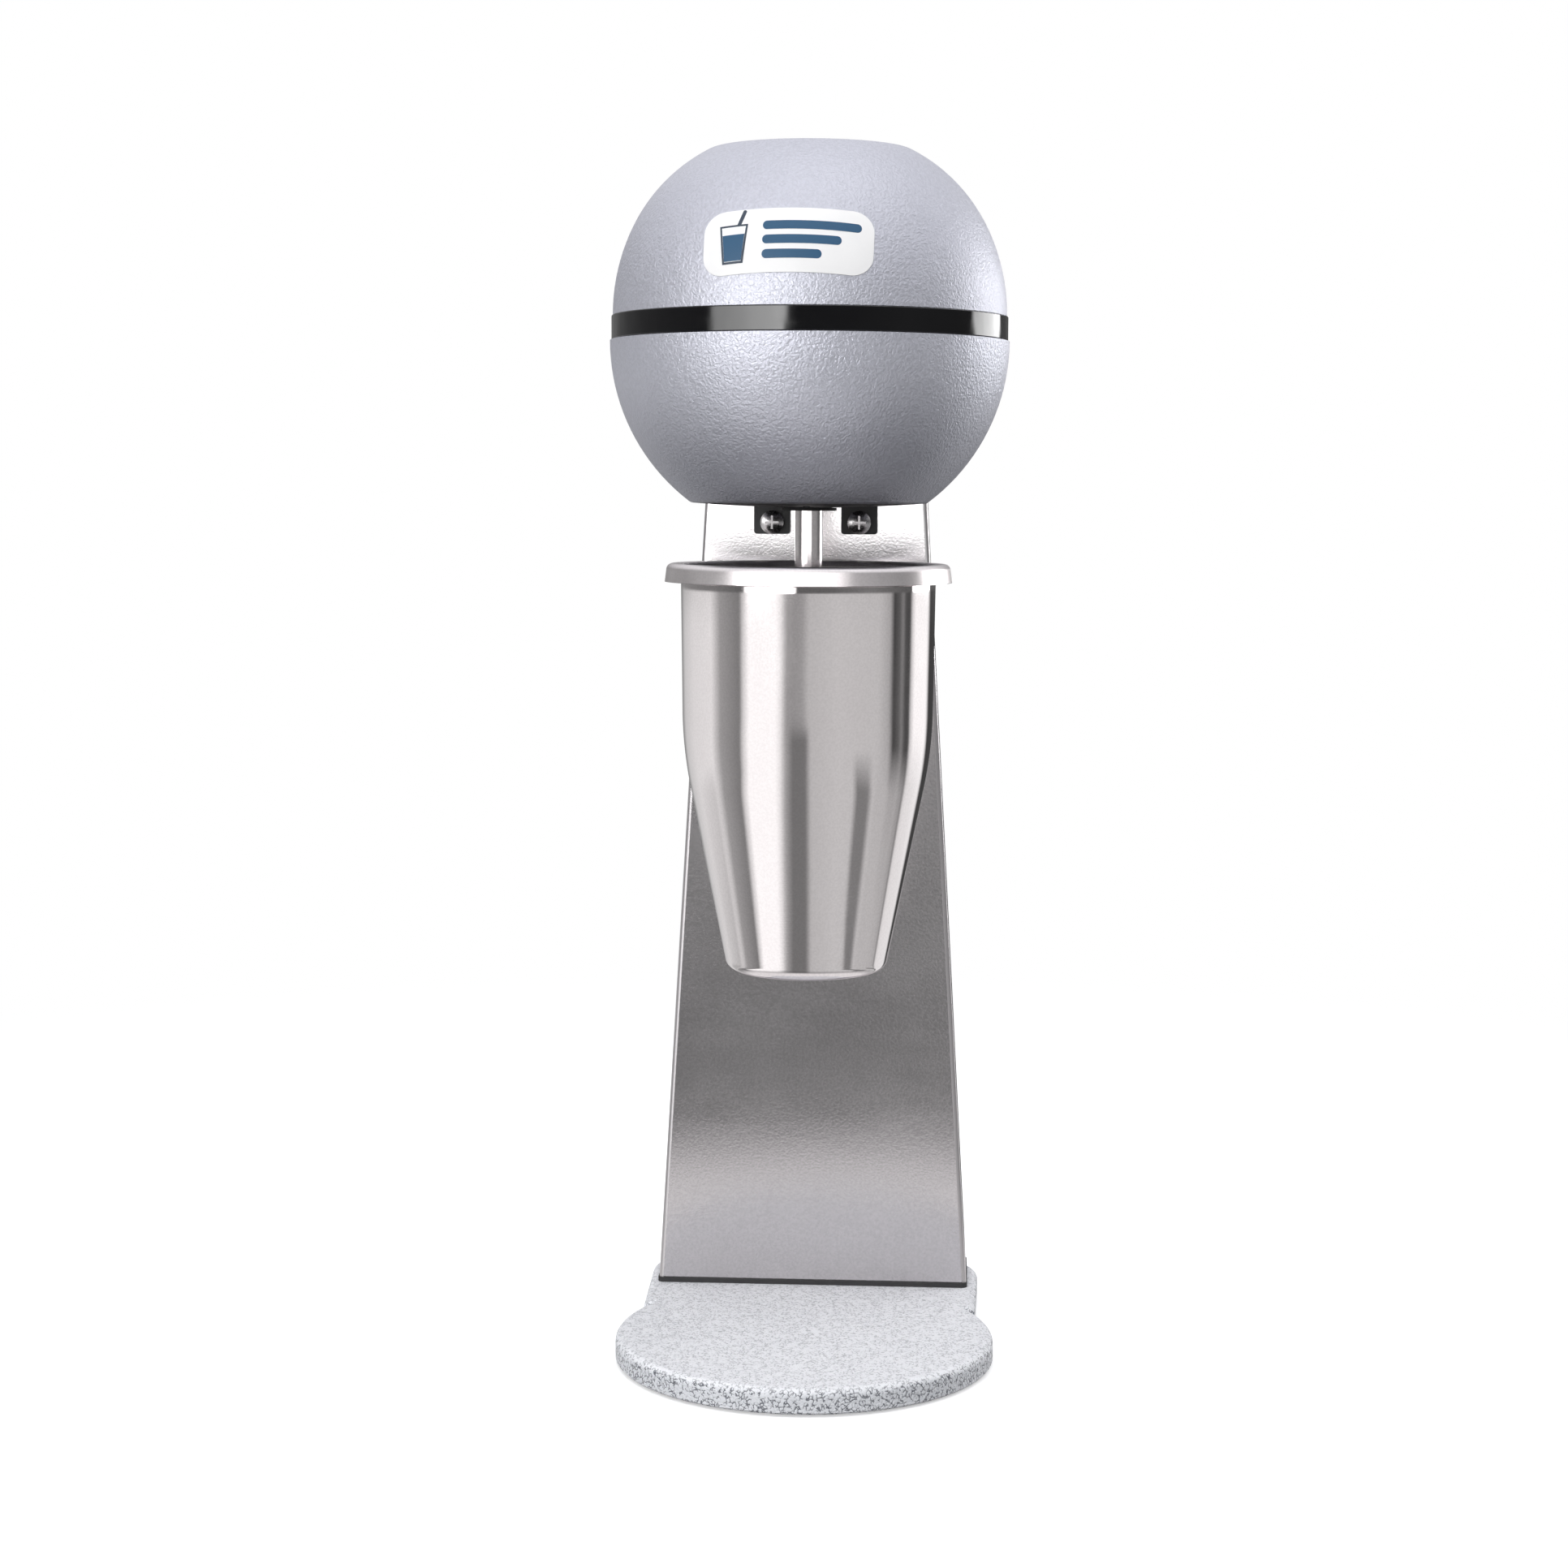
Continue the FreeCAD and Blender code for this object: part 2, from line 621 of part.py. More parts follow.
def cup_rest_pad():
    """Soft pad with a hollow face that follows the cup."""
    pad = block(-12, 12, 33, 37.6, 167, 177)
    pad = pad.makeFillet(1.5, [edge for edge in pad.Edges if edge.BoundBox.YLength > 1])
    gap = 0.3
    low, high = 160, 190
    cup_space = turned((0, low), (cone_radius(low) + gap, low), (cone_radius(high) + gap, high), (0, high))
    return pad.cut(cup_space)


# Cup.

def cone_radius(z):
    slope = (CUP_CONE_TOP_R - CUP_CONE_FOOT_R) / (CUP_CONE_TOP_Z - CUP_CONE_FOOT_Z)
    return CUP_CONE_FOOT_R + slope * (z - CUP_CONE_FOOT_Z)


def cup():
    """Spun cup: cone, straight wall and a rim that is turned down round its edge."""
    t = CUP_WALL
    foot = (CUP_CONE_FOOT_R, CUP_CONE_FOOT_Z)
    shoulder = (CUP_CONE_TOP_R, CUP_CONE_TOP_Z)
    return turned(
        (0, CUP_BOTTOM), (26.5, CUP_BOTTOM), ((30.9, CUP_BOTTOM + 1.3), foot), shoulder,
        ((48.6, 247.5), (49.6, 262)), (50.3, 316.2), ((51.0, 319.9), (52.8, 321.0)),
        ((54.5, 320.5), (55.25, 318.9)), (55.9, 314.6), (56.7, 314.6), (56.1, 319.3),
        ((55.3, 321.15), (53.4, CUP_TOP)), ((50.3, 320.6), (49.5, 316.2)), (49.6 - t, 262),
        ((48.6 - t, 247.6), (shoulder[0] - t, shoulder[1] + 0.1)), (foot[0] - t, foot[1] + 0.1),
        ((30.2, CUP_BOTTOM + 1.9), (26.4, CUP_BOTTOM + t)), (0, CUP_BOTTOM + t))


# Head shells.

def sphere_point(radius, centre, z):
    return (math.sqrt(radius ** 2 - (z - centre) ** 2), z)


def lower_solid(inset):
    """Solid of the lower half of the head, drawn in by inset."""
    radius = LOWER_R - inset
    corner = sphere_point(radius, LOWER_CENTRE, UNDER_CORNER_Z + inset)
    solid = turned((0, UNDER_CENTRE_Z + inset), dome(corner[0], corner[1], UNDER_CENTRE_Z + inset, False),
                   (sphere_point(radius, LOWER_CENTRE, 372), (radius, LOWER_CENTRE)), (0, LOWER_CENTRE))
    return solid.makeFillet(3.0, edges_at(solid, corner[1]))


def upper_solid(inset):
    """Solid of the dome, drawn in by inset: a sphere, then a tighter curve, then a flat top."""
    radius = UPPER_R - inset
    share = 1 - CROWN_R / UPPER_R
    joint_r = sphere_point(UPPER_R, UPPER_CENTRE, CROWN_FROM)[0]
    hub_r = joint_r * share
    hub_z = UPPER_CENTRE + (CROWN_FROM - UPPER_CENTRE) * share
    joint = (joint_r * radius / UPPER_R, UPPER_CENTRE + (CROWN_FROM - UPPER_CENTRE) * radius / UPPER_R)

    def on_crown(z):
        return hub_r + sphere_point(CROWN_R - inset, hub_z, z)[0], z

    top = HEAD_TOP - inset
    solid = turned((0, UPPER_CENTRE), (radius, UPPER_CENTRE),
                   (sphere_point(radius, UPPER_CENTRE, (UPPER_CENTRE + CROWN_FROM) / 2), joint),
                   (on_crown((joint[1] + top) / 2), on_crown(top)), (0, top))
    top_edge = 6.0
    return solid.makeFillet(top_edge, edges_at(solid, top))


def ear_arm(side, gap):
    """Arm of the chassis that runs back out of the head to its ear, grown by gap."""
    x = side * EAR_X
    return block(x - EAR_WIDTH / 2 - gap, x + EAR_WIDTH / 2 + gap, 30, column_front(350) - 0.05,
                 CHASSIS_Z - gap, CHASSIS_Z + CHASSIS_THICK + gap)


def head_lower_shell():
    """Lower half of the head, open below for the chassis and notched for the column."""
    shell = lower_solid(0).cut(lower_solid(SHELL))
    shell = shell.cut(rod(UNDER_HOLE_R, 340, 352)).cut(column_solid(0.5, 330, 415))
    for side in (-1, 1):
        shell = shell.cut(ear_arm(side, 0.4))
    for angle in SHELL_SCREW_ANGLES:
        x, y = polar(SHELL_SCREW_R, angle)
        shell = shell.cut(rod(2.1, 340, 352, x, y))
        countersink = turned((0, 0), (4.1, 0), (2.0, 2.1), (0, 2.1))
        shell = shell.cut(aimed(countersink, (x, y, screw_face()), (0, 0, 1)))
    seat = ring(LOWER_R - 1.5, LIP_R - 1.5, LOWER_CENTRE - 5, LOWER_CENTRE)
    return shell.fuse(seat.cut(column_solid(0.5, 330, 415)))


def screw_face():
    """Height of the head's underside at the shell screws."""
    return UNDER_CENTRE_Z + (UNDER_CORNER_Z - UNDER_CENTRE_Z) * (SHELL_SCREW_R / 46.5) ** 2


def head_band():
    band = ring(BAND_R, BAND_R - SHELL - 0.5, LOWER_CENTRE, UPPER_CENTRE)
    return band.makeFillet(0.5, [edge for edge in edges_at(band, LOWER_CENTRE) + edges_at(band, UPPER_CENTRE)
                                 if edge.Curve.Radius > BAND_R - 1])


def head_upper_shell():
    """Dome with a lip that reaches down inside the band."""
    lip = ring(LIP_R, LIP_R - 1.5, UPPER_CENTRE - 4, UPPER_CENTRE + 1)
    seat = ring(UPPER_R - 1.4, LIP_R - 1.5, UPPER_CENTRE, UPPER_CENTRE + 3)
    return upper_solid(0).cut(upper_solid(SHELL)).fuse(lip).fuse(seat)


def front_badge():
    """Thin label wrapped on the dome, a plain rounded rectangle."""
    width, height = LABEL_SIZE
    face = Part.Face(rounded_wire(width / 2, -height / 2, height / 2, LABEL_CORNER, 0))
    turn = math.radians(LABEL_TURN_LEFT)
    tilt = math.radians(LABEL_TILT_UP)
    side = Vector(math.cos(turn), -math.sin(turn), 0)
    ahead = Vector(-math.sin(turn), -math.cos(turn), 0)
    aim = ahead * math.cos(tilt) + UP * math.sin(tilt)
    centre = Vector(0, 0, UPPER_CENTRE)
    frame = FreeCAD.Rotation(side, aim.cross(side), aim, "ZXY")
    beam = face.extrude(Vector(0, 0, 90)).transformed(FreeCAD.Placement(centre, frame).toMatrix())
    film = Part.makeSphere(UPPER_R + LABEL_THICK, centre).cut(Part.makeSphere(UPPER_R, centre))
    return film.common(beam)


def motor_chassis():
    """Black support plate: its boss fills the head's underside and its arms turn down into two ears."""
    boss_r = UNDER_HOLE_R - 0.3
    plate = rod(45.0, CHASSIS_Z, CHASSIS_Z + CHASSIS_THICK)
    boss = turned((0, UNDER_CENTRE_Z), dome(boss_r, UNDER_CENTRE_Z + 0.95, UNDER_CENTRE_Z, False),
                  (boss_r, CHASSIS_Z + 1), (0, CHASSIS_Z + 1))
    body = plate.fuse(boss)
    for side in (-1, 1):
        x = side * EAR_X
        ear = block(x - EAR_WIDTH / 2, x + EAR_WIDTH / 2, 50, 70, EAR_BOTTOM, CHASSIS_Z + CHASSIS_THICK)
        ear = ear.cut(column_solid(0.05, 320, 360))
        ear = ear.common(block(-60, 60, column_front(EAR_BOTTOM) - 3.2, 70, 320, 360))
        corners = [edge for edge in ear.Edges
                   if edge.BoundBox.YLength > 1 and edge.BoundBox.ZMax < EAR_BOTTOM + 1]
        body = body.fuse(ear_arm(side, 0)).fuse(ear.makeFillet(EAR_CORNER, corners))
    body = body.removeSplitter().cut(rod(9.0, 340, 356))
    for side in (-1, 1):
        body = body.cut(rod_y(2.6, 50, 70, side * EAR_X, EAR_SCREW_Z))
    for angle in ISOLATOR_ANGLES:
        x, y = polar(ISOLATOR_R, angle)
        body = body.cut(rod(2.0, 346, 352, x, y))
    for angle in SHELL_SCREW_ANGLES:
        x, y = polar(SHELL_SCREW_R, angle)
        body = body.cut(rod(2.0, 346, 352, x, y))
    for number in range(12):
        slot = block(14, 29, -1.5, 1.5, 340, 356)
        slot = slot.makeFillet(1.4, upright_edges(slot))
        slot.rotate(Vector(0, 0, 0), UP, 30 * number)
        body = body.cut(slot)
    return body


def ear_screws():
    screw = pan_screw(4.85, 3.0, 2.5, 11.0, 5.6)
    face = column_front(EAR_SCREW_Z) - 3.1
    return group(aimed(screw, (side * EAR_X, face, EAR_SCREW_Z), (0, 1, 0)) for side in (-1, 1))


def chassis_screws():
    """Countersunk screws that hold the lower shell to the chassis."""
    screws = []
    for angle in SHELL_SCREW_ANGLES:
        x, y = polar(SHELL_SCREW_R, angle)
        head = turned((0, 0), (4.0, 0), (2.0, 2.0), (2.0, 7.0), (0, 7.0))
        for wide, deep in ((3.6, 0.7), (0.7, 3.6)):
            head = head.cut(block(-wide / 2, wide / 2, -deep / 2, deep / 2, -1, 1.2))
        screws.append(aimed(head, (x, y, screw_face() + 0.1), (0, 0, 1)))
    return group(screws)


def head_bracket():
    """Angle bracket from the column's face to the motor's lower bracket, inside the head."""
    face_y = column_front(366) - 3.2
    face = block(-13, 13, face_y, 70, 366.5, 396)
    shelf = block(-13, 13, 51, face_y + 1, 366.5, 369.5)
    riser = block(-13, 13, 51, 54, 360.1, 369.5)
    foot = block(-13, 13, 41.8, 54, 360.1, 363.1)
    bracket = face.fuse(shelf).fuse(riser).fuse(foot).removeSplitter().cut(column_solid(0.05, 350, 396.5))
    for x, z in HEAD_SCREWS:
        bracket = bracket.cut(rod_y(2.1, 50, 70, x, z))
    for x, y in MOTOR_TIES:
        bracket = bracket.cut(rod(2.1, 355, 370, x, y))
    return bracket


def motor_mount_screws():
    """Screws of the head bracket and of the rubber isolators."""
    across = pan_screw(3.6, 2.2, 2.0, 8.0, 3.8)
    face = column_front(366) - 3.25
    screws = [aimed(across, (x, face, z), (0, 1, 0)) for x, z in HEAD_SCREWS]
    down = pan_screw(3.4, 2.2, 2.0, 6.2, 3.6)
    screws += [aimed(down, (x, y, 363.1), (0, 0, -1)) for x, y in MOTOR_TIES]
    top = BRACKET_Z + 3
    through = pan_screw(3.6, 2.2, 2.0, top - CHASSIS_Z, 3.8)
    screws += [aimed(through, polar(ISOLATOR_R, angle) + (top,), (0, 0, -1)) for angle in ISOLATOR_ANGLES]
    return group(screws)


# Motor.

def lower_motor_bracket():
    """Plate with the lower bearing's seat, four posts for the core and two brush towers."""
    plate = rod(50.0, BRACKET_Z, BRACKET_Z + 3)
    boss = rod(14.0, LOWER_BEARING - 0.8, BRACKET_Z + 3)
    body = plate.fuse(boss)
    for x, y in THROUGH_PLACES:
        body = body.fuse(rod(4.5, BRACKET_Z, CORE_BOTTOM, x, y))
    for side in (-1, 1):
        body = body.fuse(block(side * 31 - 5, side * 31 + 5, -6, 6, BRACKET_Z, BRUSH_Z - 5.5))
    body = body.removeSplitter().cut(rod(11.0, LOWER_BEARING, BRACKET_Z + 5)).cut(rod(6.5, 350, 356))
    for x, y in THROUGH_PLACES:
        body = body.cut(rod(2.1, 340, 400, x, y))
    for angle in ISOLATOR_ANGLES:
        x, y = polar(ISOLATOR_R, angle)
        body = body.cut(rod(2.1, 350, 362, x, y))
    for x, y in MOTOR_TIES:
        body = body.cut(rod(2.0, 350, 362, x, y))
    for angle in (60, 120, 240, 300):
        x, y = polar(25.0, angle)
        body = body.cut(rod(6.0, 350, 362, x, y))
    return body


def isolator_bushes():
    bushes = []
    for angle in ISOLATOR_ANGLES:
        x, y = polar(ISOLATOR_R, angle)
        bushes.append(ring(6.0, 2.1, CHASSIS_Z + CHASSIS_THICK, BRACKET_Z, x, y))
    return group(bushes)


def upper_motor_bracket():
    """Plate with the upper bearing's seat and four air holes."""
    plate = block(-35, 35, -37, 37, UPPER_BEARING, UPPER_BEARING + 3)
    plate = plate.makeFillet(8.0, upright_edges(plate))
    body = plate.fuse(rod(14.0, UPPER_BEARING, UPPER_BEARING + BEARING_WIDTH + 0.8))
    for x, y in THROUGH_PLACES:
        body = body.fuse(rod(4.2, CORE_TOP, UPPER_BEARING, x, y))
    body = body.removeSplitter().cut(rod(11.0, UPPER_BEARING - 1, UPPER_BEARING + BEARING_WIDTH))
    body = body.cut(rod(6.5, 440, 460))
    for x, y in THROUGH_PLACES:
        body = body.cut(rod(2.1, 400, 460, x, y))
    for x, y in ((-24, 0), (24, 0), (0, -25), (0, 25)):
        body = body.cut(rod(7.0, 440, 451, x, y))
    return body


def motor_through_bolts():
    bolts = []
    top = UPPER_BEARING + 3
    for x, y in THROUGH_PLACES:
        bolt = rod(2.0, BRACKET_Z - 3, top, x, y).fuse(hexagon(7, top, top + 2.8, x, y))
        bolts.append(bolt.fuse(hexagon(7, BRACKET_Z - 3, BRACKET_Z, x, y)))
    return group(bolts)


def tie_rods():
    """Studs that draw the upper shell down on the motor bracket."""
    rods = []
    for x, y in ((-14, -31), (14, -31), (-14, 31), (14, 31)):
        nut = hexagon(7, UPPER_BEARING + 3, 452.6, x, y)
        rods.append(rod(2.4, 452.6, HEAD_TOP - SHELL, x, y).fuse(nut))
    return group(rods)


def stator_core():
    """Laminated field core, bored for the armature and slotted for the two coils."""
    core = block(-35, 35, -38, 38, CORE_BOTTOM, CORE_TOP)
    core = core.makeFillet(7.0, upright_edges(core)).cut(rod(21.3, 380, 430))
    for end in (-1, 1):
        for side in (-1, 1):
            low_x, high_x = sorted((side * 13.0, side * 24.5))
            low_y, high_y = sorted((end * 14.0, end * 30.0))
            core = core.cut(block(low_x, high_x, low_y, high_y, 380, 430))
    for x, y in THROUGH_PLACES:
        core = core.cut(rod(2.1, 380, 430, x, y))
    return core


def field_coils():
    coils = []
    for end in (-1, 1):
        low, high = sorted((end * 22.0, end * 29.0))
        outer = block(-23, 23, low, high, CORE_BOTTOM - 8, CORE_TOP + 8)
        outer = outer.makeFillet(5.0, [edge for edge in outer.Edges if edge.BoundBox.YLength > 1])
        coils.append(outer.cut(block(-13.4, 13.4, low - 1, high + 1, CORE_BOTTOM - 0.4, CORE_TOP + 0.4)))
    return group(coils)


def brush_holders():
    holders = []
    for side in (-1, 1):
        low, high = sorted((side * 14.0, side * 40.0))
        tube = block(low, high, -5.5, 5.5, BRUSH_Z - 5.5, BRUSH_Z + 5.5)
        low, high = sorted((side * 13.0, side * 38.0))
        holders.append(tube.cut(block(low, high, -4.1, 4.1, BRUSH_Z - 4.1, BRUSH_Z + 4.1)))
    return group(holders)


def carbon_brushes():
    brushes = []
    for side in (-1, 1):
        low, high = sorted((side * 10.0, side * 26.0))
        brush = block(low, high, -4, 4, BRUSH_Z - 4, BRUSH_Z + 4)
        brushes.append(brush.cut(rod(COMMUTATOR_R + BORE_GAP, 360, 390)))
    return group(brushes)


def brush_springs():
    springs = []
    for side in (-1, 1):
        spring = coil_spring(2.8, 0.4, 6, 0, 11.9, 0, 0)
        springs.append(aimed(spring, (side * 26.05, 0, BRUSH_Z), (side, 0, 0)))
    return group(springs)


def suppressor_capacitor():
    body = block(-48.5, -35.1, -11, 11, 396, 416)
    return body.makeFillet(1.5, upright_edges(body))


def bearing_outer_rings():
    return group(ring(11.0, 9.3, z, z + BEARING_WIDTH) for z in (LOWER_BEARING, UPPER_BEARING))


def bearing_balls():
    balls = []
    for z in (LOWER_BEARING, UPPER_BEARING):
        for number in range(8):
            x, y = polar(7.55, 45 * number)
            balls.append(Part.makeSphere(1.7, Vector(x, y, z + BEARING_WIDTH / 2)))
    return group(balls)


def bearing_inner_rings():
    return group(ring(5.8, SHAFT_R, z, z + BEARING_WIDTH) for z in (LOWER_BEARING, UPPER_BEARING))


def spindle_seal():
    """Collar with a flange that closes the hole round the spindle."""
    seal = rod(9.0, UNDER_CENTRE_Z - 0.4, CHASSIS_Z + CHASSIS_THICK + 0.8)
    seal = seal.fuse(rod(11.0, UNDER_CENTRE_Z - 1.2, UNDER_CENTRE_Z - 0.05))
    seal = seal.makeFillet(0.5, edges_at(seal, UNDER_CENTRE_Z - 1.2))
    return seal.cut(rod(SPINDLE_R + BORE_GAP, 330, 360))


def armature_core():
    core = ring(20.85, SHAFT_R, CORE_BOTTOM + 1, CORE_TOP - 1)
    for number in range(12):
        x, y = polar(SLOT_CIRCLE_R, 30 * number)
        core = core.cut(rod(2.2, 380, 430, x, y))
    return core


def armature_windings():
    ends = []
    for low, way in ((CORE_TOP - 1, 1), (CORE_BOTTOM + 1, -1)):
        ends.append(turned((9, low), (19, low), ((19.5, low + way * 4), (17, low + way * 7)),
                           (10, low + way * 7)))
    slots = []
    for number in range(12):
        x, y = polar(SLOT_CIRCLE_R, 30 * number)
        slots.append(rod(2.1, CORE_BOTTOM + 1, CORE_TOP - 1, x, y))
    return ends[0].fuse(ends[1]).fuse(group(slots).Solids)


def commutator():
    drum = ring(COMMUTATOR_R, SHAFT_R, 367, 384.5)
    for number in range(24):
        cut = block(COMMUTATOR_R - 0.8, COMMUTATOR_R + 1, -0.3, 0.3, 366, 383)
        cut.rotate(Vector(0, 0, 0), UP, 15 * number)
        drum = drum.cut(cut)
    return drum


def motor_shaft():
    return rod(SHAFT_R, 330, 455.5)


def cooling_fan():
    fan = ring(8.0, SHAFT_R, 434, 444).fuse(ring(33.5, 7.5, 434, 435.5))
    for number in range(9):
        blade = block(7, 33, -0.75, 0.75, 435, 443.5)
        blade.rotate(Vector(7, 0, 0), UP, 22)
        blade = blade.common(rod(33.5, 430, 450))
        blade.rotate(Vector(0, 0, 0), UP, 40 * number)
        fan = fan.fuse(blade)
    return fan


def spindle():
    """Polished spindle, bored at the top for the motor shaft and stepped where it carries the agitator."""
    body = turned((0, AGITATOR_Z), (3.0, AGITATOR_Z), (3.0, AGITATOR_Z + 2.4), (4.6, AGITATOR_Z + 4.0),
                  (SPINDLE_R, AGITATOR_Z + 6.0), (SPINDLE_R, LOWER_BEARING - 1.2), (0, LOWER_BEARING - 1.2))
    return body.cut(rod(SHAFT_R, 330, 360))


def agitator():
    """Fluted mixing disc on the end of the spindle."""
    disc = turned((3.0, AGITATOR_Z), (15.0, AGITATOR_Z), ((15.9, AGITATOR_Z + 1.0), (15.0, AGITATOR_Z + 2.0)),
                  (3.0, AGITATOR_Z + 2.0))
    hub = ring(5.5, 3.0, AGITATOR_Z - 1.5, AGITATOR_Z + 2.3)
    disc = disc.fuse(hub)
    for number in range(8):
        x, y = polar(17.2, 45 * number)
        disc = disc.cut(rod(3.6, AGITATOR_Z - 2, AGITATOR_Z + 4, x, y))
        rib = Part.makeSphere(1.7, Vector(10.4, 0, AGITATOR_Z + 1.4))
        rib.rotate(Vector(0, 0, 0), UP, 45 * number + 22.5)
        disc = disc.fuse(rib)
    return disc.cut(rod(3.0, AGITATOR_Z - 5, AGITATOR_Z + 6))


def agitator_screw():
    """Domed nut under the agitator."""
    top = AGITATOR_Z - 1.5
    return turned((0, top), (5.0, top), (5.0, top - 1.6), dome(5.0, top - 1.6, top - 4.6))


MAKERS = {
    "base_casting": base_casting, "rubber_feet": rubber_feet, "foot_screws": foot_screws,
    "column_bolts": column_bolts, "column_gasket": column_gasket,
    "column_foot_plate": column_foot_plate, "column_channel": column_channel,
    "column_rear_cover": column_rear_cover, "rear_cover_screws": rear_cover_screws,
    "column_top_cap": column_top_cap, "cord_gland": cord_gland, "gland_locknut": gland_locknut,
    "switch_housing": switch_housing, "switch_rocker": switch_rocker, "terminal_block": terminal_block,
    "internal_leads": internal_leads, "lead_grommets": lead_grommets, "cup_hanger": cup_hanger,
    "hanger_bracket": hanger_bracket, "hanger_guide_rod": hanger_guide_rod,
    "hanger_spring": lambda: coil_spring(3.2, 0.45, 6, 278.6, 297.9, 0, GUIDE_Y),
    "cup_support_screws": cup_support_screws, "microswitch_body": microswitch_body,
    "microswitch_plunger": microswitch_plunger, "microswitch_screws": microswitch_screws,
    "cup_rest": cup_rest, "cup_rest_pad": cup_rest_pad, "cup": cup,
    "head_lower_shell": head_lower_shell, "head_band": head_band, "head_upper_shell": head_upper_shell,
    "front_badge": front_badge, "motor_chassis": motor_chassis, "ear_screws": ear_screws,
    "chassis_screws": chassis_screws, "head_bracket": head_bracket, "motor_mount_screws": motor_mount_screws,
    "lower_motor_bracket": lower_motor_bracket, "isolator_bushes": isolator_bushes,
    "upper_motor_bracket": upper_motor_bracket,
    "motor_through_bolts": motor_through_bolts, "tie_rods": tie_rods, "stator_core": stator_core,
    "field_coils": field_coils, "brush_holders": brush_holders, "carbon_brushes": carbon_brushes,
    "brush_springs": brush_springs, "suppressor_capacitor": suppressor_capacitor,
    "bearing_outer_rings": bearing_outer_rings, "bearing_balls": bearing_balls,
    "bearing_inner_rings": bearing_inner_rings, "spindle_seal": spindle_seal, "armature_core": armature_core,
    "armature_windings": armature_windings, "commutator": commutator, "motor_shaft": motor_shaft,
    "cooling_fan": cooling_fan, "spindle": spindle, "agitator": agitator, "agitator_screw": agitator_screw,
}

os.makedirs("parts", exist_ok=True)
for node, maker in MAKERS.items():
    save(node, maker())
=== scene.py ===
import json
import math

import bmesh
import bpy
from mathutils import Matrix, Vector


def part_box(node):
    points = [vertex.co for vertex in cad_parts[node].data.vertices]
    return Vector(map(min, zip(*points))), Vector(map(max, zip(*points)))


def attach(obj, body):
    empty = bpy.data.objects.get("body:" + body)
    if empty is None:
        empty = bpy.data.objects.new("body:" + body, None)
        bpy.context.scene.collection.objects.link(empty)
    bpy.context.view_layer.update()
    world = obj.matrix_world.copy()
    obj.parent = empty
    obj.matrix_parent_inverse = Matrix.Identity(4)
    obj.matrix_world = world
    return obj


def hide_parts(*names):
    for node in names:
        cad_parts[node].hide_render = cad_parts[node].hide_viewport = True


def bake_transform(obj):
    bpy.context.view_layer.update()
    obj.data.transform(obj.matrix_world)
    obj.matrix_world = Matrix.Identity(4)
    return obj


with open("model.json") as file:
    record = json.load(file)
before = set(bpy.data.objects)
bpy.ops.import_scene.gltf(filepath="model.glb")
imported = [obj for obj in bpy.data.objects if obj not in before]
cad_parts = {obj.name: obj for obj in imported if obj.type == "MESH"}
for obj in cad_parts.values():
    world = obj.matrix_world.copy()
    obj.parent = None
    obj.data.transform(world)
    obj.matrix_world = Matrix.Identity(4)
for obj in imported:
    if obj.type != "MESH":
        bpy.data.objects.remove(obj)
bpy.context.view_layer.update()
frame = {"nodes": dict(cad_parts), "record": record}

# Sizes are in metres, in the frame that the CAD model is packed in. AXIS is the line that
# the spindle, the cup and the head share.
MM = 0.001
spindle_low, spindle_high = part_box("spindle")
AXIS = (spindle_low + spindle_high) / 2
band_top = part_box("head_band")[1].z
dome_low, dome_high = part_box("head_upper_shell")
cup_low, cup_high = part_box("cup")
head_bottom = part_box("head_lower_shell")[0].z


def feed(tree, socket, value):
    """Links a socket to another one, or gives it a value. A colour gets its fourth number here."""
    if isinstance(value, bpy.types.NodeSocket):
        tree.links.new(value, socket)
    elif isinstance(value, tuple) and socket.type == "RGBA":
        socket.default_value = (*value, 1)
    else:
        socket.default_value = value


def new_node(tree, kind, **settings):
    made = tree.nodes.new(kind)
    for key, value in settings.items():
        setattr(made, key, value)
    return made


def worked_out(tree, operation, *values):
    """The result of a Math node."""
    made = new_node(tree, "ShaderNodeMath", operation=operation)
    for socket, value in zip(made.inputs, values):
        feed(tree, socket, value)
    return made.outputs[0]


# ---------------------------------------------------------------- materials

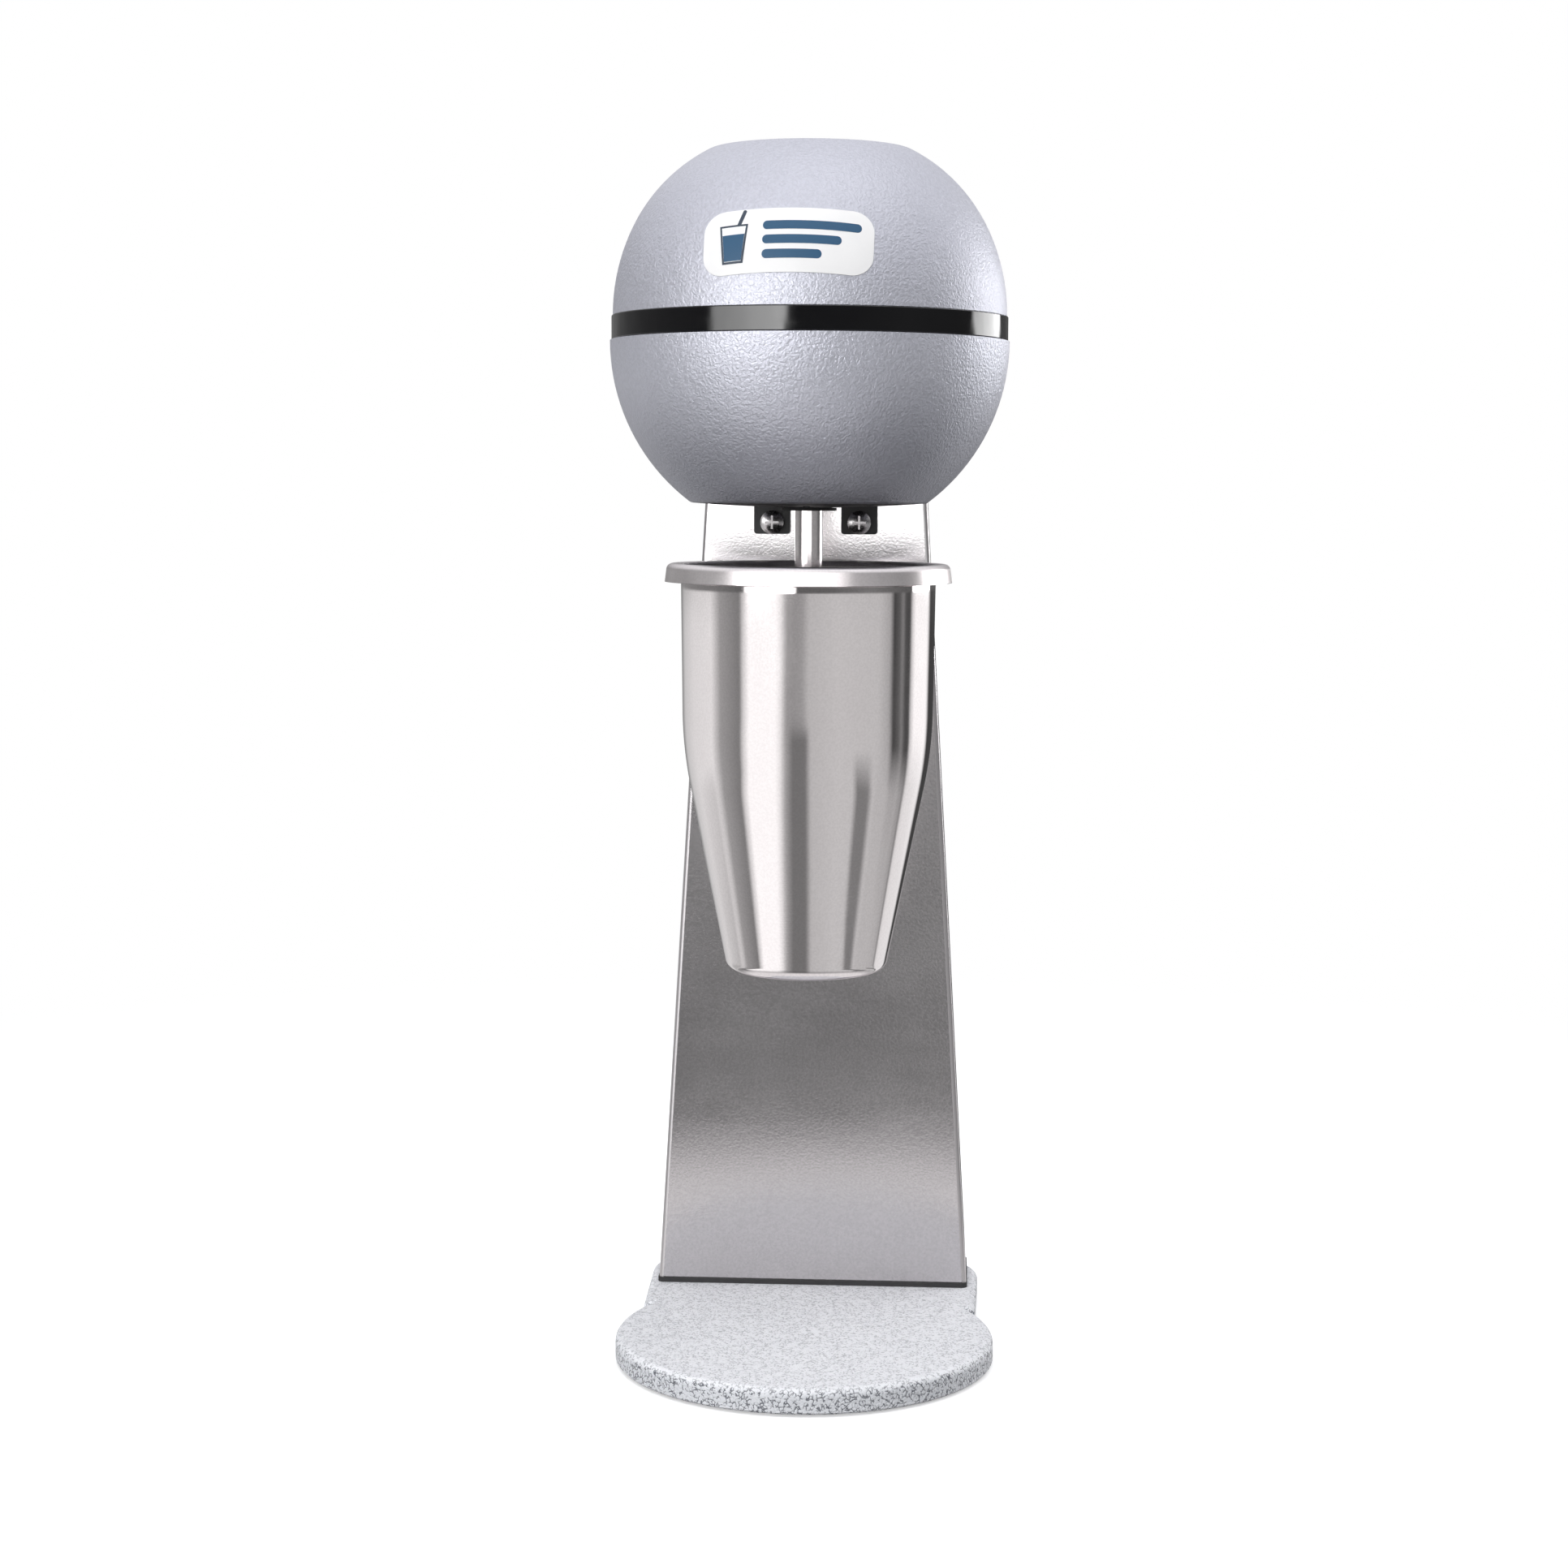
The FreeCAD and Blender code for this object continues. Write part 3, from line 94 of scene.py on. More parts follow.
class Finish:
    """A procedural material, with short calls for the nodes that the finishes share."""

    def __init__(self, name, metallic, roughness, specular=0.5):
        self.material = bpy.data.materials.new(name)
        self.material.use_nodes = True
        self.tree = self.material.node_tree
        self.shader = self.tree.nodes["Principled BSDF"]
        self.shader.inputs["Metallic"].default_value = metallic
        self.shader.inputs["Roughness"].default_value = roughness
        self.shader.inputs["Specular IOR Level"].default_value = specular
        self.place = self.node("ShaderNodeTexCoord").outputs["Object"]

    def node(self, kind, **settings):
        return new_node(self.tree, kind, **settings)

    def feed(self, socket, value):
        feed(self.tree, socket, value)

    def math(self, operation, *values):
        return worked_out(self.tree, operation, *values)

    def parts(self, vector):
        """The x, y and z of a vector."""
        made = self.node("ShaderNodeSeparateXYZ")
        self.feed(made.inputs[0], vector)
        return made.outputs

    def facing(self):
        """The x, y and z of the direction that the surface faces."""
        return self.parts(self.node("ShaderNodeNewGeometry").outputs["Normal"])

    def stretched(self, x, y, z, centre=(0, 0, 0)):
        """The place, measured from centre and multiplied along each axis."""
        moved = self.node("ShaderNodeVectorMath", operation="SUBTRACT")
        self.feed(moved.inputs[0], self.place)
        moved.inputs[1].default_value = centre
        scaled = self.node("ShaderNodeVectorMath", operation="MULTIPLY")
        self.feed(scaled.inputs[0], moved.outputs[0])
        scaled.inputs[1].default_value = (x, y, z)
        return scaled.outputs[0]

    def around_axis(self, angular, radial, upright):
        """Cylinder coordinates about the spindle's axis, each multiplied by its own scale."""
        x, y, z = self.parts(self.stretched(1, 1, 1, (AXIS.x, AXIS.y, 0)))
        angle = self.math("ARCTAN2", y, x)
        squares = self.math("ADD", self.math("MULTIPLY", x, x), self.math("MULTIPLY", y, y))
        radius = self.math("SQRT", squares)
        joined = self.node("ShaderNodeCombineXYZ")
        self.feed(joined.inputs[0], self.math("MULTIPLY", angle, angular))
        self.feed(joined.inputs[1], self.math("MULTIPLY", radius, radial))
        self.feed(joined.inputs[2], self.math("MULTIPLY", z, upright))
        return joined.outputs[0]

    def noise(self, size, detail=3.0, roughness=0.5, place=None, distortion=0.0):
        """Noise whose patches are about size metres across, or about 1 on a place given."""
        made = self.node("ShaderNodeTexNoise")
        self.feed(made.inputs["Vector"], self.place if place is None else place)
        made.inputs["Scale"].default_value = 1 / size
        made.inputs["Detail"].default_value = detail
        made.inputs["Roughness"].default_value = roughness
        made.inputs["Distortion"].default_value = distortion
        return made.outputs["Fac"]

    def level(self, value, low, high, to_low=0.0, to_high=1.0):
        """value brought from the range low to high into another range, with soft ends."""
        made = self.node("ShaderNodeMapRange", interpolation_type="SMOOTHSTEP")
        for socket, given in zip(made.inputs, (value, low, high, to_low, to_high)):
            self.feed(socket, given)
        return made.outputs[0]

    def blend(self, factor, first, second):
        made = self.node("ShaderNodeMix", data_type="RGBA")
        for socket, value in zip((made.inputs[0], made.inputs[6], made.inputs[7]), (factor, first, second)):
            self.feed(socket, value)
        return made.outputs[2]

    def edges(self):
        """1 on outside corners and 0 elsewhere, for paint that is thin or rubbed there."""
        return self.level(self.node("ShaderNodeNewGeometry").outputs["Pointiness"], 0.52, 0.62)

    def bump(self, height, depth, below=None):
        made = self.node("ShaderNodeBump")
        made.inputs["Distance"].default_value = depth
        self.feed(made.inputs["Height"], height)
        if below is not None:
            self.feed(made.inputs["Normal"], below)
        return made.outputs["Normal"]

    def done(self, colour, roughness, normal):
        for name, value in (("Base Color", colour), ("Roughness", roughness), ("Normal", normal)):
            self.feed(self.shader.inputs[name], value)
        return self.material


def head_paint():
    """Satin metallic grey with a fine leathery skin, and painted shade that darkens it where it faces down.

    The underside of the head is left black.
    """
    metallic = 0.72
    finish = Finish("head_paint", metallic, 0.46)
    cloud = finish.noise(35 * MM, 2)
    flakes = finish.noise(0.35 * MM, 1)
    skin = finish.noise(1.1 * MM, 2, 0.5, distortion=0.5)
    swell = finish.noise(4.8 * MM, 2)
    colour = finish.blend(cloud, (0.540, 0.547, 0.612), (0.590, 0.597, 0.660))
    colour = finish.blend(finish.level(flakes, 0.55, 0.8, 0, 0.25), colour, (0.66, 0.67, 0.72))
    colour = finish.blend(finish.level(skin, 0.35, 0.65, 0.16, 0.0), colour, (0.20, 0.205, 0.24))
    # Painted shade: where the surface faces down, the grey is darkened towards a deep blue-grey.
    painted_shade_below = finish.level(finish.facing()[2], -0.65, -0.05, 0.32, 0.0)
    colour = finish.blend(painted_shade_below, colour, (0.14, 0.14, 0.17))
    height = finish.parts(finish.place)[2]
    unpainted = finish.level(height, head_bottom + 0.5 * MM, head_bottom + 0.9 * MM, 1.0, 0.0)
    colour = finish.blend(unpainted, colour, (0.012, 0.012, 0.014))
    painted = finish.math("SUBTRACT", 1.0, unpainted)
    finish.feed(finish.shader.inputs["Metallic"], finish.math("MULTIPLY", painted, metallic))
    normal = finish.bump(skin, 0.40 * MM, finish.bump(swell, 0.16 * MM))
    return finish.done(colour, finish.level(skin, 0.2, 0.8, 0.42, 0.54), normal)


def hammertone_paint():
    """Pale grey hammer finish: bright islands with short dark veins, with painted shade that darkens its
    sides and the veins on them.
    """
    finish = Finish("hammertone_paint", 0.0, 0.5)
    drift = finish.node("ShaderNodeTexNoise")
    finish.feed(drift.inputs["Vector"], finish.place)
    drift.inputs["Scale"].default_value = 900
    shifted = finish.node("ShaderNodeVectorMath", operation="MULTIPLY_ADD")
    finish.feed(shifted.inputs[0], drift.outputs["Color"])
    shifted.inputs[1].default_value = (1.1 * MM, 1.1 * MM, 1.1 * MM)
    finish.feed(shifted.inputs[2], finish.place)
    cells = finish.node("ShaderNodeTexVoronoi", feature="DISTANCE_TO_EDGE")
    finish.feed(cells.inputs["Vector"], shifted.outputs[0])
    cells.inputs["Scale"].default_value = 640
    vein = finish.level(cells.outputs["Distance"], 0.02, 0.16, 1.0, 0.0)
    broken = finish.level(finish.noise(1.7 * MM, 2), 0.44, 0.54)
    vein = finish.math("MULTIPLY", vein, broken)
    speck = finish.level(finish.noise(0.6 * MM, 2), 0.62, 0.72, 0, 0.5)
    upward = finish.facing()[2]
    # Painted shade: the veins are drawn at full darkness on the sides and half as dark on the top.
    painted_vein_shade = finish.level(upward, 0.35, 0.9, 1.0, 0.5)
    dark = finish.math("MULTIPLY", finish.math("MAXIMUM", vein, speck), painted_vein_shade)
    pale = finish.blend(finish.noise(20 * MM, 2), (0.80, 0.81, 0.84), (0.86, 0.87, 0.895))
    # Painted shade: the sides are darkened towards a greyer pale.
    side = finish.level(upward, 0.1, 0.85, 1.0, 0.0)
    pale = finish.blend(side, pale, (0.70, 0.715, 0.75))
    colour = finish.blend(finish.math("MULTIPLY", dark, 0.9), pale, (0.055, 0.062, 0.08))
    islands = finish.level(cells.outputs["Distance"], 0.0, 0.4)
    height = finish.math("SUBTRACT", islands, finish.math("MULTIPLY", dark, 0.6))
    return finish.done(colour, finish.level(dark, 0, 1, 0.48, 0.6), finish.bump(height, 0.14 * MM))


def gloss_band():
    """Gloss black trim, with faint polishing lines along it."""
    finish = Finish("gloss_band", 0.0, 0.1)
    lines = finish.noise(1.0, 2, place=finish.around_axis(6, 40, 9000))
    smear = finish.noise(1.0, 3, place=finish.around_axis(5, 30, 160))
    wave = finish.noise(1.0, 1, place=finish.around_axis(9, 10, 60))
    colour = finish.blend(smear, (0.002, 0.002, 0.003), (0.004, 0.004, 0.005))
    normal = finish.bump(lines, 0.004 * MM, finish.bump(wave, 0.2 * MM))
    return finish.done(colour, finish.level(smear, 0.3, 0.7, 0.05, 0.11), normal)


def column_steel():
    """Satin stainless sheet with a fine leathery grain, duller along its folded corners.

    The front has a painted reflection above the cup's rim: it is tinted brighter where it would face the
    brightest part of a room.
    """
    finish = Finish("column_steel", 1.0, 0.16)
    grain = finish.noise(1.0 * MM, 3, 0.55, distortion=0.5)
    rub = finish.noise(1.0, 3, 0.6, finish.stretched(20, 60, 90))
    cloud = finish.noise(50 * MM, 3, 0.55)
    colour = finish.blend(cloud, (0.575, 0.552, 0.561), (0.635, 0.613, 0.622))
    colour = finish.blend(finish.level(grain, 0.35, 0.65, 0.16, 0.0), colour, (0.20, 0.19, 0.195))
    sideways, backward, _ = finish.facing()
    sideways = finish.math("ABSOLUTE", sideways)
    off_the_front = finish.level(sideways, 0.05, 0.16)
    off_the_side = finish.level(sideways, 0.88, 0.97, 1.0, 0.0)
    fold = finish.math("MULTIPLY", off_the_front, off_the_side)
    colour = finish.blend(fold, colour, (0.44, 0.425, 0.433))
    # Painted reflection: the front face above the cup's rim is lightened towards a pale steel.
    painted_reflection_height = finish.level(finish.parts(finish.place)[2], cup_high.z - 18 * MM, cup_high.z + 2 * MM)
    bright = finish.math("MULTIPLY", painted_reflection_height, finish.level(backward, -0.98, -0.9, 1.0, 0.0))
    colour = finish.blend(bright, colour, (0.90, 0.89, 0.895))
    rubbed = finish.level(rub, 0.35, 0.7, 0.150, 0.168)
    rough = finish.math("ADD", rubbed, finish.level(cloud, 0.3, 0.7, -0.01, 0.015))
    rough = finish.math("ADD", rough, finish.math("MULTIPLY", fold, 0.2))
    return finish.done(colour, rough, finish.bump(grain, 0.035 * MM))


def polished_steel(name="polished_steel", sheen=0.13, dull_above=None):
    """Polished stainless with buffing lines round it and a few smears.

    Above the height dull_above, where one is given, the surface is satin.
    """
    finish = Finish(name, 1.0, sheen)
    buffing = finish.noise(1.0, 4, 0.6, finish.around_axis(3, 300, 5200))
    smear = finish.noise(1.0, 4, 0.6, finish.around_axis(2.5, 20, 24))
    grain = finish.noise(0.9 * MM, 3, 0.55)
    colour = finish.blend(smear, (0.745, 0.703, 0.707), (0.80, 0.766, 0.769))
    colour = finish.blend(finish.level(grain, 0.35, 0.65, 0.10, 0.0), colour, (0.30, 0.28, 0.28))
    rough = finish.level(smear, 0.42, 0.72, sheen, sheen + 0.06)
    rough = finish.math("ADD", rough, finish.level(buffing, 0.4, 0.75, 0.0, 0.03))
    if dull_above is not None:
        dull = finish.level(finish.parts(finish.place)[2], dull_above, dull_above + 0.5 * MM, 0.0, 0.27)
        rough = finish.math("ADD", rough, dull)
    return finish.done(colour, rough, finish.bump(buffing, 0.0025 * MM))


def satin_metal(name, pale, deep, rough, grain=0.6 * MM, depth=0.03 * MM):
    """Metal with a grained skin: a casting, a pressing or turned stock."""
    finish = Finish(name, 1.0, rough)
    cloud = finish.noise(12 * MM, 3)
    skin = finish.noise(grain, 4, 0.6)
    colour = finish.blend(finish.level(cloud, 0.3, 0.7), pale, deep)
    worn = tuple(min(1.0, 1.25 * part) for part in pale)
    colour = finish.blend(finish.math("MULTIPLY", finish.edges(), 0.5), colour, worn)
    roughness = finish.level(skin, 0.25, 0.75, rough - 0.06, rough + 0.08)
    return finish.done(colour, roughness, finish.bump(skin, depth))


def moulded(name, pale, deep, rough, grain=0.8 * MM, depth=0.06 * MM, specular=0.5):
    """Moulded plastic, rubber or paint with a fine texture and paler edges."""
    finish = Finish(name, 0.0, rough, specular)
    cloud = finish.noise(9 * MM, 3)
    skin = finish.noise(grain, 3, 0.6)
    colour = finish.blend(finish.level(cloud, 0.3, 0.7), pale, deep)
    worn = tuple(min(1.0, 1.3 * part + 0.03) for part in pale)
    colour = finish.blend(finish.math("MULTIPLY", finish.edges(), 0.35), colour, worn)
    roughness = finish.level(skin, 0.25, 0.75, rough - 0.05, rough + 0.09)
    return finish.done(colour, roughness, finish.bump(skin, depth))


def windings():
    """Enamelled copper wire, laid side by side."""
    finish = Finish("copper", 1.0, 0.3)
    wires = finish.node("ShaderNodeTexWave", wave_type="BANDS", bands_direction="DIAGONAL")
    finish.feed(wires.inputs["Vector"], finish.place)
    wires.inputs["Scale"].default_value = 260
    wires.inputs["Distortion"].default_value = 1.5
    wires.inputs["Detail Scale"].default_value = 40
    wire = wires.outputs["Fac"]
    colour = finish.blend(wire, (0.20, 0.055, 0.02), (0.56, 0.20, 0.075))
    roughness = finish.level(finish.noise(2 * MM), 0.3, 0.7, 0.24, 0.4)
    return finish.done(colour, roughness, finish.bump(wire, 0.15 * MM))


def laminations():
    """Stacked electrical steel, whose sheets show as level lines."""
    finish = Finish("lamination_steel", 1.0, 0.4)
    sheets = finish.noise(1.0, 2, 0.5, finish.stretched(20, 20, 2400))
    rust = finish.noise(6 * MM, 4, 0.6)
    colour = finish.blend(finish.level(sheets, 0.35, 0.65), (0.16, 0.155, 0.15), (0.36, 0.35, 0.34))
    colour = finish.blend(finish.level(rust, 0.55, 0.75, 0, 0.35), colour, (0.20, 0.11, 0.06))
    return finish.done(colour, finish.level(sheets, 0.3, 0.7, 0.34, 0.52), finish.bump(sheets, 0.08 * MM))


def label_film():
    """White vinyl with a faint pebble from the skin beneath."""
    finish = Finish("badge_film", 0.0, 0.35)
    skin = finish.noise(1.2 * MM, 2)
    colour = finish.blend(finish.noise(10 * MM), (0.84, 0.84, 0.84), (0.90, 0.90, 0.895))
    return finish.done(colour, finish.level(skin, 0.3, 0.7, 0.3, 0.42), finish.bump(skin, 0.03 * MM))


def print_ink(name, colour):
    """Printing ink with faint specks."""
    finish = Finish(name, 0.0, 0.4)
    speck = finish.noise(0.8 * MM, 3)
    full = tuple(1.15 * part for part in colour)
    finish.feed(finish.shader.inputs["Base Color"], finish.blend(speck, colour, full))
    finish.feed(finish.shader.inputs["Roughness"], finish.level(speck, 0.3, 0.7, 0.34, 0.46))
    return finish.material


def slot_of(material):
    """The material's own name, without the number that Blender adds to a repeated name."""
    return material.name.split(".")[0]


FINISHES = {slot_of(finish): finish for finish in (
    head_paint(),
    hammertone_paint(),
    gloss_band(),
    column_steel(),
    polished_steel(),
    label_film(),
    laminations(),
    windings(),
    satin_metal("bright_screws", (0.40, 0.39, 0.39), (0.33, 0.32, 0.33), 0.22, 0.4 * MM, 0.01 * MM),
    satin_metal("plain_steel", (0.52, 0.51, 0.50), (0.40, 0.39, 0.39), 0.36),
    satin_metal("cast_aluminium", (0.62, 0.62, 0.63), (0.50, 0.50, 0.51), 0.46, 1.2 * MM, 0.12 * MM),
    satin_metal("brass_parts", (0.62, 0.42, 0.16), (0.48, 0.31, 0.11), 0.3),
    moulded("black_paint", (0.006, 0.006, 0.007), (0.011, 0.011, 0.013), 0.45, 0.9 * MM, 0.09 * MM),
    moulded("black_plastic", (0.014, 0.014, 0.015), (0.022, 0.022, 0.024), 0.42, 0.7 * MM),
    moulded("rubber", (0.018, 0.018, 0.019), (0.028, 0.027, 0.027), 0.7, 0.5 * MM, 0.05 * MM, 0.3),
    moulded("carbon", (0.020, 0.020, 0.021), (0.035, 0.034, 0.034), 0.6, 0.3 * MM, 0.04 * MM),
    moulded("capacitor_case", (0.62, 0.50, 0.10), (0.55, 0.43, 0.07), 0.4),
    moulded("lead_insulation", (0.30, 0.02, 0.015), (0.22, 0.015, 0.012), 0.45),
)}


def finish_cad_nodes():
    """Gives every CAD node the finish of its own slot."""
    for node in frame["nodes"].values():
        for number, material in enumerate(node.data.materials):
            node.data.materials[number] = FINISHES[slot_of(material)]


# ---------------------------------------------------------------- mesh work

def around(items):
    """Each item with the next one, and the last with the first."""
    return list(zip(items, items[1:] + items[:1]))


def finished(name, mesh_data, material, body, stands_for=()):
    """Turns a bmesh into a piece: its mesh, finish, smooth shading and body."""
    mesh = bpy.data.meshes.new(name)
    bmesh.ops.recalc_face_normals(mesh_data, faces=mesh_data.faces)
    mesh_data.to_mesh(mesh)
    mesh_data.free()
    mesh.materials.append(material)
    mesh.shade_smooth()
    mesh.set_sharp_from_angle(angle=math.radians(32))
    piece = bpy.data.objects.new(name, mesh)
    bpy.context.scene.collection.objects.link(piece)
    if body:
        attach(piece, body)
    if stands_for:
        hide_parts(*stands_for)
    return piece


def arc_points(start, middle, end, count=10):
    """Points after start on the arc through three points of an outline."""
    (ax, ay), (bx, by), (cx, cy) = start, middle, end
    across = 2 * (ax * (by - cy) + bx * (cy - ay) + cx * (ay - by))
    start_square, middle_square, end_square = ax * ax + ay * ay, bx * bx + by * by, cx * cx + cy * cy
    centre_x = (start_square * (by - cy) + middle_square * (cy - ay) + end_square * (ay - by)) / across
    centre_y = (start_square * (cx - bx) + middle_square * (ax - cx) + end_square * (bx - ax)) / across
    first = math.atan2(ay - centre_y, ax - centre_x)
    turn = math.atan2(cy - centre_y, cx - centre_x) - first
    halfway = math.atan2(by - centre_y, bx - centre_x) - first
    turn %= 2 * math.pi
    if halfway % (2 * math.pi) > turn:
        turn -= 2 * math.pi
    radius = math.hypot(ax - centre_x, ay - centre_y)
    angles = [first + turn * number / count for number in range(1, count + 1)]
    return [(centre_x + radius * math.cos(angle), centre_y + radius * math.sin(angle)) for angle in angles]


def between(first, second, share):
    """The point that lies a share of the way from the first point to the second."""
    return tuple(start + (end - start) * share for start, end in zip(first, second))


def outline_points(start, *steps, run):
    """Closed outline. A step is an end point, or the middle and end of an arc.

    Straight steps are divided into lengths of about run.
    """
    points = [start]
    for step in steps:
        here = points[-1]
        if isinstance(step[0], tuple):
            points += arc_points(here, *step)
        else:
            count = max(1, round(math.dist(here, step) / run))
            points += [between(here, step, number / count) for number in range(1, count + 1)]
    return points


def bridge(made, first, second, count):
    """Faces between two closed rings of count points. Either ring may be a single point."""
    for number in range(count):
        after = (number + 1) % count
        corners = [first[number % len(first)], first[after % len(first)],
                   second[after % len(second)], second[number % len(second)]]
        made.faces.new(list(dict.fromkeys(corners)))


def lathe(points, segments, sway):
    """Closed solid of (radius, height) points turned about the spindle's axis.

    sway says how far a point at an angle and a height lies outside the true circle.
    """
    made = bmesh.new()
    rings = []
    for radius, z in points:
        if radius == 0:
            rings.append([made.verts.new((AXIS.x, AXIS.y, z))])
            continue
        ring = []
        for number in range(segments):
            angle = 2 * math.pi * number / segments
            reach = radius + sway(angle, z)
            x, y = AXIS.x + reach * math.cos(angle), AXIS.y + reach * math.sin(angle)
            ring.append(made.verts.new((x, y, z)))
        rings.append(ring)
    for low, high in around(rings):
        if len(low) > 1 or len(high) > 1:
            bridge(made, low, high, segments)
    return made


def cup_piece():
    """Spun steel cup with a rolled rim. Its wall isn't perfectly round, as on a real spun cup."""
    wall = 0.8 * MM
    floor, top = cup_low.z, cup_high.z
    rim_r = (cup_high.x - cup_low.x) / 2
    neck = (rim_r - 6.4 * MM, top - 5.6 * MM)
    belly = (49.6 * MM, floor + 102 * MM)
    shoulder = (46.3 * MM, floor + 73 * MM)
    foot = (32.6 * MM, floor + 4.6 * MM)

    def rim(inward, down):
        """A point this many millimetres in from the rim's edge and down from its top."""
        return (rim_r - inward * MM, top - down * MM)

    def inside(point, rise=0.0):
        return (point[0] - wall, point[1] + rise)

    points = outline_points(
        (0, floor), (26.5 * MM, floor), ((30.9 * MM, floor + 1.3 * MM), foot), shoulder,
        ((48.6 * MM, floor + 87.5 * MM), belly), neck,
        (rim(5.7, 1.9), rim(3.9, 0.8)), (rim(2.2, 1.3), rim(1.45, 2.9)), rim(0.8, 7.2), rim(0.0, 7.2),
        rim(0.6, 2.5), (rim(1.4, 0.65), rim(3.3, 0.0)), (rim(6.4, 1.2), inside(neck)), inside(belly),
        ((48.6 * MM - wall, floor + 87.6 * MM), inside(shoulder, 0.1 * MM)), inside(foot, 0.1 * MM),
        ((30.2 * MM, floor + 1.9 * MM), (26.4 * MM, floor + wall)), (0, floor + wall), run=5 * MM)

    def sway(angle, z):
        height = (z - floor) / (top - floor)
        calm = min(1.0, max(0.0, 6 * (0.94 - height))) * min(1.0, 8 * max(height, 0))
        slow = math.sin(3 * angle + 2.1 * height) + 0.6 * math.sin(5 * angle - 3.4 * height + 1.0)
        quick = 0.22 * math.sin(11 * angle + 9 * height) * math.cos(7 * height)
        return 0.035 * MM * calm * (slow + quick)

    steel = polished_steel("cup_steel", 0.035, top - 7.4 * MM)
    finished("mixing_cup", lathe(points, 256, sway), steel, "cup", ["cup"])


def spring_piece():
    """The hanger's return spring, which stretches between the column and the hanger."""
    low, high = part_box("hanger_spring")
    centre = (low + high) / 2
    wire = 0.45 * MM
    mean = (high.x - low.x) / 2 - wire
    turns, steps, sides = 6, 48, 10
    made = bmesh.new()
    rings = []
    for number in range(turns * steps + 1):
        angle = 2 * math.pi * number / steps
        z = low.z + wire + (high.z - low.z - 2 * wire) * number / (turns * steps)
        out = Vector((math.cos(angle), math.sin(angle), 0))
        middle = Vector((centre.x, centre.y, z)) + out * mean
        ring = []
        for side in range(sides):
            around_wire = 2 * math.pi * side / sides
            rise = Vector((0, 0, wire * math.sin(around_wire)))
            ring.append(made.verts.new(middle + out * (wire * math.cos(around_wire)) + rise))
        rings.append(ring)
    for first, second in zip(rings, rings[1:]):
        bridge(made, first, second, sides)
    made.faces.new(rings[0])
    made.faces.new(rings[-1])
    spring = finished("return_spring", made, FINISHES["plain_steel"], None, ["hanger_spring"])
    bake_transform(spring)


# ---------------------------------------------------------------- label

LABEL_TURN = math.radians(4)
LABEL_TILT = math.radians(18)
LABEL_WIDTH, LABEL_HEIGHT, LABEL_CORNER = 63 * MM, 25 * MM, 8 * MM
FILM = 0.3 * MM
INK = FILM + 0.10 * MM
INK_LAYER = 0.08 * MM
# In millimetres on the label: the tumbler's middle, the bars' left end, and each bar's height and length.
TUMBLER_X = -20
BARS_LEFT = -9
BARS = ((5.6, 36), (0, 29), (-5.6, 22))
label_out = Vector((-math.cos(LABEL_TILT) * math.sin(LABEL_TURN),
                    -math.cos(LABEL_TILT) * math.cos(LABEL_TURN),
                    math.sin(LABEL_TILT)))
label_side = Vector((math.cos(LABEL_TURN), -math.sin(LABEL_TURN), 0))
label_up = label_out.cross(label_side)
dome_radius = (dome_high.x - dome_low.x) / 2
dome_centre = Vector((AXIS.x, AXIS.y, band_top))


def on_dome(u, v, lift):
    """The point of the dome behind the label's own point (u, v), lifted off its paint."""
    radius = dome_radius + lift
    depth = math.sqrt(radius ** 2 - u ** 2 - v ** 2)
    return dome_centre + label_side * u + label_up * v + label_out * depth


def rounded(width, height, corner, centre=(0, 0), turn=0.0, steps=8):
    """Outline of a rounded rectangle in the label's plane."""
    points = []
    for quarter, (side, end) in enumerate(((1, 1), (-1, 1), (-1, -1), (1, -1))):
        for number in range(steps + 1):
            angle = math.pi / 2 * (quarter + number / steps)
            points.append((side * (width / 2 - corner) + corner * math.cos(angle),
                           end * (height / 2 - corner) + corner * math.sin(angle)))
    cosine, sine = math.cos(turn), math.sin(turn)
    return [(centre[0] + x * cosine - y * sine, centre[1] + x * sine + y * cosine) for x, y in points]


def closer(outline, gap=1.2 * MM):
    """The same closed outline with its points no further apart than gap."""
    points = []
    for here, after in around(outline):
        count = max(1, math.ceil(math.dist(here, after) / gap))
        points += [between(here, after, number / count) for number in range(count)]
    return points


def patch(made, outline, low, high, ring_gap=1.4 * MM):
    """Thin curved plate on the dome, between two lifts, with the shape of a convex outline."""
    outline = closer(outline)
    middle = [sum(values) / len(outline) for values in zip(*outline)]
    count = max(2, math.ceil(max(math.dist(middle, point) for point in outline) / ring_gap))
    rings = [[made.verts.new(on_dome(*middle, high))]]
    for share, lift in [(number / count, high) for number in range(1, count + 1)] + [(1.0, low)]:
        rings.append([made.verts.new(on_dome(*between(middle, point, share), lift)) for point in outline])
    for inner, outer in zip(rings, rings[1:]):
        bridge(made, inner, outer, len(outline))
    made.faces.new(rings[-1])


def tumbler(top_half, top, bottom_half, bottom):
    """Outline of a glass that narrows downwards, from sizes in millimetres."""
    corners = ((top_half, top), (-top_half, top), (-bottom_half, bottom), (bottom_half, bottom))
    return [((x + TUMBLER_X) * MM, y * MM) for x, y in corners]


